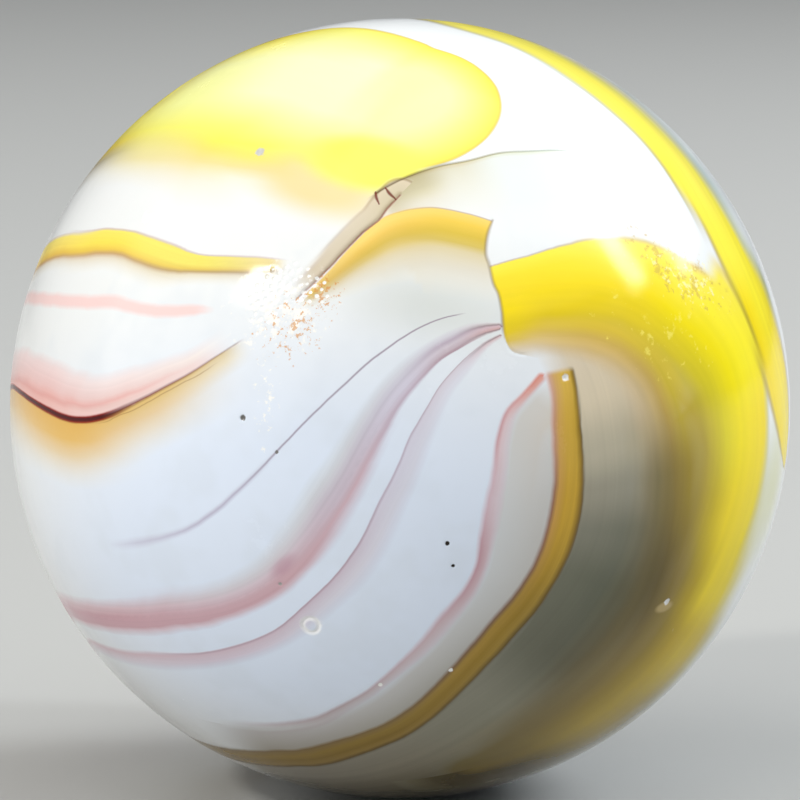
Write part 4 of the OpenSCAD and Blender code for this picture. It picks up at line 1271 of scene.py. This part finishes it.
            (0.1, (204, 190, 204)), (0.55, (208, 178, 190)), (0.95, (214, 200, 214), 0.8), (1.5, MAUVE))),
        Section(48, ((-2, (212, 214, 216)), (-1, (212, 206, 212), 0.8), (-0.4, (214, 192, 202), 0.9),
            (0.2, (210, 176, 186)), (0.7, (206, 168, 178)), (1, (214, 186, 196), 0.8), (1.4, MAUVE))),
        Section(84, ((-1.5, ROSE), (-0.7, (216, 184, 192), 0.9), (-0.1, (208, 166, 176)),
            (0.7, (206, 164, 174), 0.95), (1.1, (216, 190, 198), 0.5), (1.4, ROSE))),
    ), waver=0.14, waver_run=7, streaks=0.05, streak_width=0.7),
    Bloom((-16.6, -22.4), (3.6, 1.5), (188, 140, 158), 0.55, 42, 0.2),
    Layer(Trail.ROSE_THREAD, (
        Section(0, ((-1.4, ROSE), (-0.6, MAROON, 0.75), (-0.1, (206, 160, 164), 0.6), (1, ROSE))),
        Section(8, ((-1.1, MAUVE), (-0.95, (168, 130, 148), 0.7), (-0.8, (210, 196, 208), 0.7),
            (0.5, (220, 216, 230), 0.6), (1.4, MAUVE))),
        Section(22, ((-1.1, MAUVE), (-0.92, (178, 150, 172), 0.7), (-0.7, (212, 206, 222), 0.8),
            (0.6, (216, 212, 226), 0.7), (1.8, MAUVE))),
        Section(42, ((-1.1, MAUVE), (-0.95, (168, 126, 142), 0.8), (-0.72, (208, 192, 206), 0.9),
            (0.5, (222, 216, 228), 0.8), (2, MAUVE))),
        Section(66, ((-1.15, ROSE), (-0.92, (180, 140, 156), 0.8), (-0.6, (214, 190, 202), 0.9),
            (0.5, (218, 200, 214), 0.8), (1.8, MAUVE))),
        Section(84, ((-1.3, ROSE), (-0.6, (214, 186, 196), 0.9), (0.6, (222, 208, 220), 0.7),
            (1.6, MAUVE))),
    ), waver=0.1, waver_run=7, streaks=0.03, streak_width=0.7),
    Layer(Trail.LOW_THREAD, (
        Section(0, ((-1.3, CORAL), (-0.6, CORAL, 0.9), (0.3, (224, 160, 146), 0.9), (1.2, ROSE))),
        Section(9, ((-1.6, ROSE), (-0.9, (206, 150, 154), 0.9), (-0.3, (222, 188, 192), 0.8),
            (0.5, (222, 200, 206), 0.7), (1.5, ROSE))),
        Section(18, ((-1.4, ROSE), (-0.6, (210, 172, 180), 0.8), (0.4, (218, 196, 204), 0.8), (1.5, ROSE))),
        Section(27, ((-1.4, ROSE), (-0.6, (196, 150, 160), 0.95), (0.4, (208, 176, 184), 0.9),
            (1.5, ROSE))),
        Section(44, ((-1.2, ROSE), (-0.4, (204, 176, 182), 0.9), (0.5, (210, 192, 198), 0.8), (1.4, ROSE))),
        Section(60, ((-1.2, DUSK), (-0.5, (182, 158, 160), 0.85), (0.4, (196, 180, 182), 0.6),
            (1.4, DUSK))),
        Section(74, ((-1, DUSK), (-0.4, (190, 170, 172), 0.6), (0.3, DOVE, 0.4), (1, DUSK))),
    ), waver=0.2, waver_run=6, end=(-12, 0)),
    Layer(Trail.OCHRE_RIBBON, (
        Section(0, ((-1.5, CORAL), (-1.15, (206, 150, 116), 0.8), (-0.8, (214, 172, 110)),
            (-0.2, (222, 184, 84)), (0.4, (210, 172, 76)), (0.62, (150, 122, 46)),
            (0.75, (120, 98, 44), 0.8), (0.9, STONE))),
        Section(8, ((-1.4, CORAL), (-1.05, (192, 130, 88), 0.8), (-0.75, (210, 166, 92)),
            (-0.2, (212, 172, 72)), (0.45, (206, 168, 66)), (0.75, (150, 120, 44)),
            (0.9, (112, 90, 42), 0.9), (1.05, STONE))),
        Section(18, ((-1.3, RUSSET), (-1, (150, 96, 58), 0.9), (-0.75, (204, 158, 80)),
            (-0.2, (203, 162, 56)), (0.5, (206, 166, 58)), (0.85, (150, 118, 44)),
            (1.02, (108, 86, 40), 0.9), (1.2, STONE))),
        Section(36, ((-1.3, RUSSET), (-1, (120, 84, 46), 0.9), (-0.7, (176, 142, 62)), (0, (158, 127, 46)),
            (0.5, (168, 138, 60)), (0.9, (104, 84, 42)), (1.15, ASH))),
        Section(66, ((-1.3, BRONZE), (-1, (128, 102, 54), 0.9), (-0.4, (152, 125, 58)),
            (0.2, (136, 110, 48)), (0.7, (148, 121, 60)), (1, (104, 84, 46)), (1.3, ASH))),
    ), waver=0.1, waver_run=6, streaks=0.06, streak_width=0.9, start=(-0.9, 0.1)),
    Layer(Trail.FOLD, (
        Section(0, ((-0.7, MAROON), (0, (150, 84, 66), 0.6), (0.7, MAROON))),
        Section(13, ((-0.7, MAROON), (0, (140, 74, 60), 0.8), (0.7, MAROON))),
    ), waver=0.5, waver_run=3),
    Layer(Trail.FOLD_TOP, (
        Section(0, ((-1, UMBER), (0, (104, 84, 52), 0.9), (1, UMBER))),
        Section(16, ((-0.9, OLIVE), (0, (140, 134, 96), 0.8), (0.9, OLIVE))),
        Section(26, ((-0.9, TEAL), (0, (150, 162, 140), 0.7), (0.9, TEAL))),
    ), waver=0.2, end=(-5, 1)),
    Layer(Trail.LEFT_NICK, plain((110, 30, 16), 0.5, 0.9)),
    Layer(Trail.RIGHT_NICK, plain((110, 30, 16), 0.5, 0.9)),
    Layer(Trail.SEAM, plain((140, 120, 96), 0.6, 0.5), end=(-6, -3)),
    Layer(Trail.REAR_FOLD, plain(UMBER, 0.5, 0.7)),
    Layer(Trail.BLISTER, plain((252, 252, 252), 0.6, 0.8), waver=0.4, waver_run=1.5),
    Bloom((43.1, -32.4), (2.1, 1.1), (190, 168, 116), 0.8, 10, 0.5),
    # Painted highlight: white sparkle of the key light off the scuffed patch; the orange flecks after it are
    # the patch's own colour.
    Flecks(Bloom((-16.5, 14), (11, 9), (255, 252, 246), 1), 1.6, 0.15, 0.45, 0.16, 6),
    Flecks(Bloom((-15, 11.5), (9, 9), (218, 160, 96), 0.8, -60), 0.7, 0.16, 0.52, 0.06, 6),
    Flecks(Bloom((-10.5, 16), (4.5, 5), (214, 150, 80), 0.8), 0.6, 0.16, 0.5, 0.06, 6),
    # Painted highlight: a vertical streak of white sparkle below the scuffed patch, where a lamp's reflection
    # breaks up.
    Flecks(Bloom((-18.5, 1.5), (2.6, 10), (255, 254, 250), 0.9), 1, 0.12, 0.5, 0.12, 5),
    DirtAndGlint(),
)


@dataclass(frozen=True)
class SwirledGlass:
    """Opaque glass with its colours run through it, a hard wet gloss, and fine wear."""

    roughness: float = 0.12
    worn_roughness: float = 0.3
    wear_range: tuple[float, float] = (0.45, 0.75)
    ior: float = 1.52
    gloss: float = 0.22
    ripple_strength: float = 0.05
    ripple_height: float = BALL_RADIUS * 0.01
    coats: tuple[Coat, ...] = COATS

    def make(self) -> bpy.types.Material:
        """Builds the material and returns it."""
        material = bpy.data.materials.new("swirled_glass")
        material.use_nodes = True
        draft = NodeDraft(material.node_tree)
        material.node_tree.nodes.clear()
        colour = draft.blend(0.0, linear(WHITE), linear(WHITE))
        for coat in self.coats:
            colour = self.laid(draft, coat, colour)
        spot = draft.scaled(draft.add("ShaderNodeTexCoord").outputs["Object"], 1 / BALL_RADIUS)
        wear = draft.noise(spot, scale=3.0, detail=6.0, rough=0.65)
        ripple = draft.noise(spot, scale=9.0, detail=4.0, rough=0.6)
        wires = {"Strength": self.ripple_strength, "Distance": self.ripple_height, "Height": ripple}
        wires = {
            "Base Color": colour,
            "Roughness": draft.eased(wear, *self.wear_range, self.roughness, self.worn_roughness),
            "IOR": self.ior,
            "Specular IOR Level": self.gloss,
            "Normal": draft.add("ShaderNodeBump", wires).outputs[0],
        }
        glass = draft.add("ShaderNodeBsdfPrincipled", wires)
        draft.add("ShaderNodeOutputMaterial", {"Surface": glass.outputs[0]})
        return material

    def laid(self, draft: NodeDraft, coat: Coat, under: Socket) -> Socket:
        """Lays a coat in a node group of its own and returns the new colour."""
        tree = bpy.data.node_groups.new("coat", "ShaderNodeTree")
        tree.interface.new_socket("Under", in_out="INPUT", socket_type="NodeSocketColor")
        tree.interface.new_socket("Laid", in_out="OUTPUT", socket_type="NodeSocketColor")
        inner = NodeDraft(tree)
        given = inner.add("NodeGroupInput").outputs["Under"]
        inner.add("NodeGroupOutput", {0: coat.lay(inner, given)})
        return draft.add("ShaderNodeGroup", {0: under}, node_tree=tree).outputs[0]


# ---- the marble ----------------------------------------------------------------------------------------


@dataclass
class Marble:
    """The marble: its ball, the paths that its colours follow, and the marks of play.

    The two reaches are how far round a pit or a pressed path the ball's cells are finer, in degrees.
    """

    blank: BallBlank = field(default_factory=BallBlank)
    finish: SwirledGlass = field(default_factory=SwirledGlass)
    stream_proud: float = 0.003e-3
    crease_depth: float = 0.025e-3
    top_share: float = 0.6
    seam_depth: float = 0.02e-3
    blister_depth: float = 0.025e-3
    scuff_depth: float = 0.012e-3
    pit_reach: float = 0.4
    path_reach: float = 0.5

    def paths(self) -> list[tuple[SkinPath, float]]:
        """Every path, with the depth that it is pressed in."""
        depths = {
            Trail.FOLD: self.crease_depth,
            Trail.FOLD_TOP: self.crease_depth * self.top_share,
            Trail.SEAM: self.seam_depth,
            Trail.REAR_FOLD: self.crease_depth,
            Trail.BLISTER: self.blister_depth,
            Trail.SMOKE_AND_SHADE_FIELD: 0.0,
            Trail.BRONZE_HAZE: 0.0,
            Trail.LEFT_NICK: 0.0,
            Trail.RIGHT_NICK: 0.0,
        }
        return [(path, depths.get(path.trail, -self.stream_proud)) for path in PATH_OF.values()]

    def pits(self) -> list[Pit]:
        """Every pit and prick, then the scuffed patch beside the fold."""
        chips = [
            Pit(face((-21.9, -1.3)), 0.55 * DEGREE, 0.03e-3, 0.85),
            Pit(face((-21.6, 39.6)), 0.9 * DEGREE, 0.03e-3, 0.4),
            # A near-clean chip, filled white as a painted glint.
            Pit(face((23.2, 4.3)), 0.6 * DEGREE, 0.03e-3, 0.1),
            Pit(face((6.6, -18.7)), 0.4 * DEGREE, 0.02e-3, 1.0),
            Pit(face((7.4, -22)), 0.35 * DEGREE, 0.02e-3, 1.0),
            Pit(face((-17, -6)), 0.3 * DEGREE, 0.02e-3, 0.8),
            Pit(face((-17.2, -25.2)), 0.3 * DEGREE, 0.02e-3, 0.6),
            Pit(face((7.6, -39.2)), 0.4 * DEGREE, 0.02e-3, 0.0),
            Pit(face((-3, -41.8)), 0.4 * DEGREE, 0.02e-3, 0.0),
            Pit(face((43.5, -31.5)), 0.6 * DEGREE, 0.02e-3, 0.2),
            Pit(rear((35, 22)), 0.7 * DEGREE, 0.03e-3, 0.3),
            Pit(rear((-48, 12)), 0.7 * DEGREE, 0.03e-3, 0.3),
            Pit(rear((-10, -34)), 0.7 * DEGREE, 0.03e-3, 0.5),
        ]
        return chips + self.scuff()

    def scuff(self) -> list[Pit]:
        """Small chips packed in a sunflower spiral over the scuffed patch, their sizes mixed evenly, each
        filled white as a painted glint of the patch's sparkle.
        """
        middle = (-15.5, 14.5)
        reach = 6.0
        count = 90
        golden_turn = math.radians(137.508)
        golden_share = 0.618
        least, spread = 0.12, 0.22
        chips = []
        for number in range(count):
            far = reach * math.sqrt((number + 0.5) / count)
            turn = number * golden_turn
            place = (middle[0] + far * math.cos(turn), middle[1] + far * math.sin(turn))
            size = (least + spread * (number * golden_share % 1.0)) * DEGREE
            chips.append(Pit(face(place), size, self.scuff_depth, 0.0))
        return chips

    def build(self) -> bpy.types.Object:
        """Builds the dressed ball as one plain mesh."""
        skin = self.finish.make()
        pits = self.pits()
        marks = [(pit.toward, self.pit_reach) for pit in pits]
        for path, depth in self.paths():
            if depth > self.stream_proud:
                marks += self.along(path)
        ball = self.blank.build(marks)
        beside = PathField()
        for path, depth in self.paths():
            beside.lay(ball, path, depth, skin)
        PitField().lay(ball, pits, skin)
        return settle(ball)

    def along(self, path: SkinPath) -> list[tuple[Vector, float]]:
        """Marks along a path, close enough together that none of it is missed."""
        stops = [spot.normalized() for spot, _ in path.stops()]
        steps = 5
        marks = []
        for first, second in zip(stops, stops[1:]):
            marks += [(first.slerp(second, k / steps), self.path_reach) for k in range(steps + 1)]
        return marks


def settle(ball: bpy.types.Object) -> bpy.types.Object:
    """Turns the ball with its live modifiers into a plain mesh, and removes the objects that shaped it."""
    bpy.context.view_layer.update()
    graph = bpy.context.evaluated_depsgraph_get()
    shaped = ball.evaluated_get(graph)
    mesh = bpy.data.meshes.new_from_object(shaped, preserve_all_data_layers=True, depsgraph=graph)
    helpers = [modifier[key] for modifier in ball.modifiers for key in modifier.keys()
               if isinstance(modifier[key], bpy.types.Object)]
    ball.modifiers.clear()
    for helper in helpers:
        bpy.data.objects.remove(helper)
    ball.data = mesh
    return ball


# ---- the studio ----------------------------------------------------------------------------------------


def facing(toward: Vector) -> Euler:
    """The turn that makes a lamp or camera on one side of the ball look back at it."""
    return (-toward).to_track_quat("-Z", "Y").to_euler()


@dataclass(frozen=True)
class Lamp:
    """A soft rectangular lamp, aimed at the ball from (right, up, out) as the camera sees it."""

    name: str
    place: tuple[float, float, float]
    distance: float
    size: tuple[float, float]
    power: float
    colour: Rgb

    def hang(self) -> None:
        """Hangs the lamp."""
        toward = self.place[0] * RIGHT_DIR + self.place[1] * UP_DIR + self.place[2] * OUT_DIR
        data = bpy.data.lights.new(self.name, "AREA")
        data.shape = "RECTANGLE"
        data.size, data.size_y = self.size
        data.energy = self.power
        data.color = linear(self.colour)[:3]
        lamp = put(bpy.data.objects.new(self.name, data))
        lamp.location = toward.normalized() * self.distance
        lamp.rotation_euler = facing(toward)


LAMPS: tuple[Lamp, ...] = (
    Lamp("key", (-0.614, 0.540, 0.577), 0.3, (0.03, 0.03), 0.28, (255, 252, 244)),
    Lamp("window", (0.714, 0.65, -0.258), 0.3, (0.09, 0.16), 0.5, (244, 250, 255)),
    Lamp("pane", (0.823, 0.607, 0.128), 0.3, (0.035, 0.09), 0.22, (244, 250, 255)),
    Lamp("left", (-0.75, 0.6, 0.45), 0.45, (0.7, 0.7), 1.78, (255, 253, 248)),
    Lamp("above", (0.35, 0.85, 0.35), 0.45, (0.6, 0.6), 1.2, (255, 255, 252)),
)


@dataclass
class Studio:
    """A plain pale floor, soft lamps, and a camera that looks a little down on the patterned face.

    The drop is how far the ball's middle lies below the picture's, as a share of its width. The sight is the
    nearest and the furthest that the camera sees.
    """

    camera_distance: float = 12 * BALL_RADIUS
    lens: float = 209.9
    film_width: float = 36.0
    drop: float = 8.5 / 800
    sight: tuple[float, float] = (0.005, 20.0)
    floor_reach: float = 3.0
    floor_corners: int = 96
    floor_colour: Rgb = (180, 180, 178)
    floor_roughness: float = 0.8
    world_colour: Rgb = (200, 206, 214)
    world_strength: float = 0.22

    def set_up(self) -> None:
        """Lays the floor, hangs the lamps, lights the air and places the camera."""
        self.lay_floor()
        for lamp in LAMPS:
            lamp.hang()
        world = bpy.data.worlds.new("studio")
        world.use_nodes = True
        air = world.node_tree.nodes["Background"]
        air.inputs["Color"].default_value = linear(self.world_colour)
        air.inputs["Strength"].default_value = self.world_strength
        bpy.context.scene.world = world
        bpy.context.scene.view_settings.view_transform = "Standard"
        self.place_camera()

    def place_camera(self) -> None:
        """Places the camera before the middle of the face."""
        data = bpy.data.cameras.new("camera")
        data.lens = self.lens
        data.sensor_width = self.film_width
        data.shift_y = self.drop
        data.clip_start, data.clip_end = self.sight
        camera = put(bpy.data.objects.new("camera", data))
        camera.location = OUT_DIR * self.camera_distance
        camera.rotation_euler = facing(OUT_DIR)
        bpy.context.scene.camera = camera

    def lay_floor(self) -> None:
        """Lays the floor under the ball."""
        mesh = bpy.data.meshes.new("floor")
        shape = bmesh.new()
        bmesh.ops.create_circle(shape, cap_ends=True, segments=self.floor_corners, radius=self.floor_reach)
        for vert in shape.verts:
            vert.co.z = -BALL_RADIUS
        shape.to_mesh(mesh)
        shape.free()
        material = bpy.data.materials.new("floor")
        material.use_nodes = True
        paint = material.node_tree.nodes["Principled BSDF"]
        paint.inputs["Base Color"].default_value = linear(self.floor_colour)
        paint.inputs["Roughness"].default_value = self.floor_roughness
        mesh.materials.append(material)
        put(bpy.data.objects.new("floor", mesh))


def report(piece: bpy.types.Object) -> None:
    """Says what a finished piece came to."""
    faces = piece.data
    triangles = sum(len(side.vertices) - 2 for side in faces.polygons)
    log.info("%s: %d points, %d triangles", piece.name, len(faces.vertices), triangles)


def main() -> None:
    logging.basicConfig(level=logging.INFO, format="%(name)s: %(message)s")
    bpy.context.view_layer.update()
    ball = Marble().build()
    report(ball)
    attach(ball, "root")
    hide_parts("marble")
    Studio().set_up()


if __name__ == "__main__":
    main()
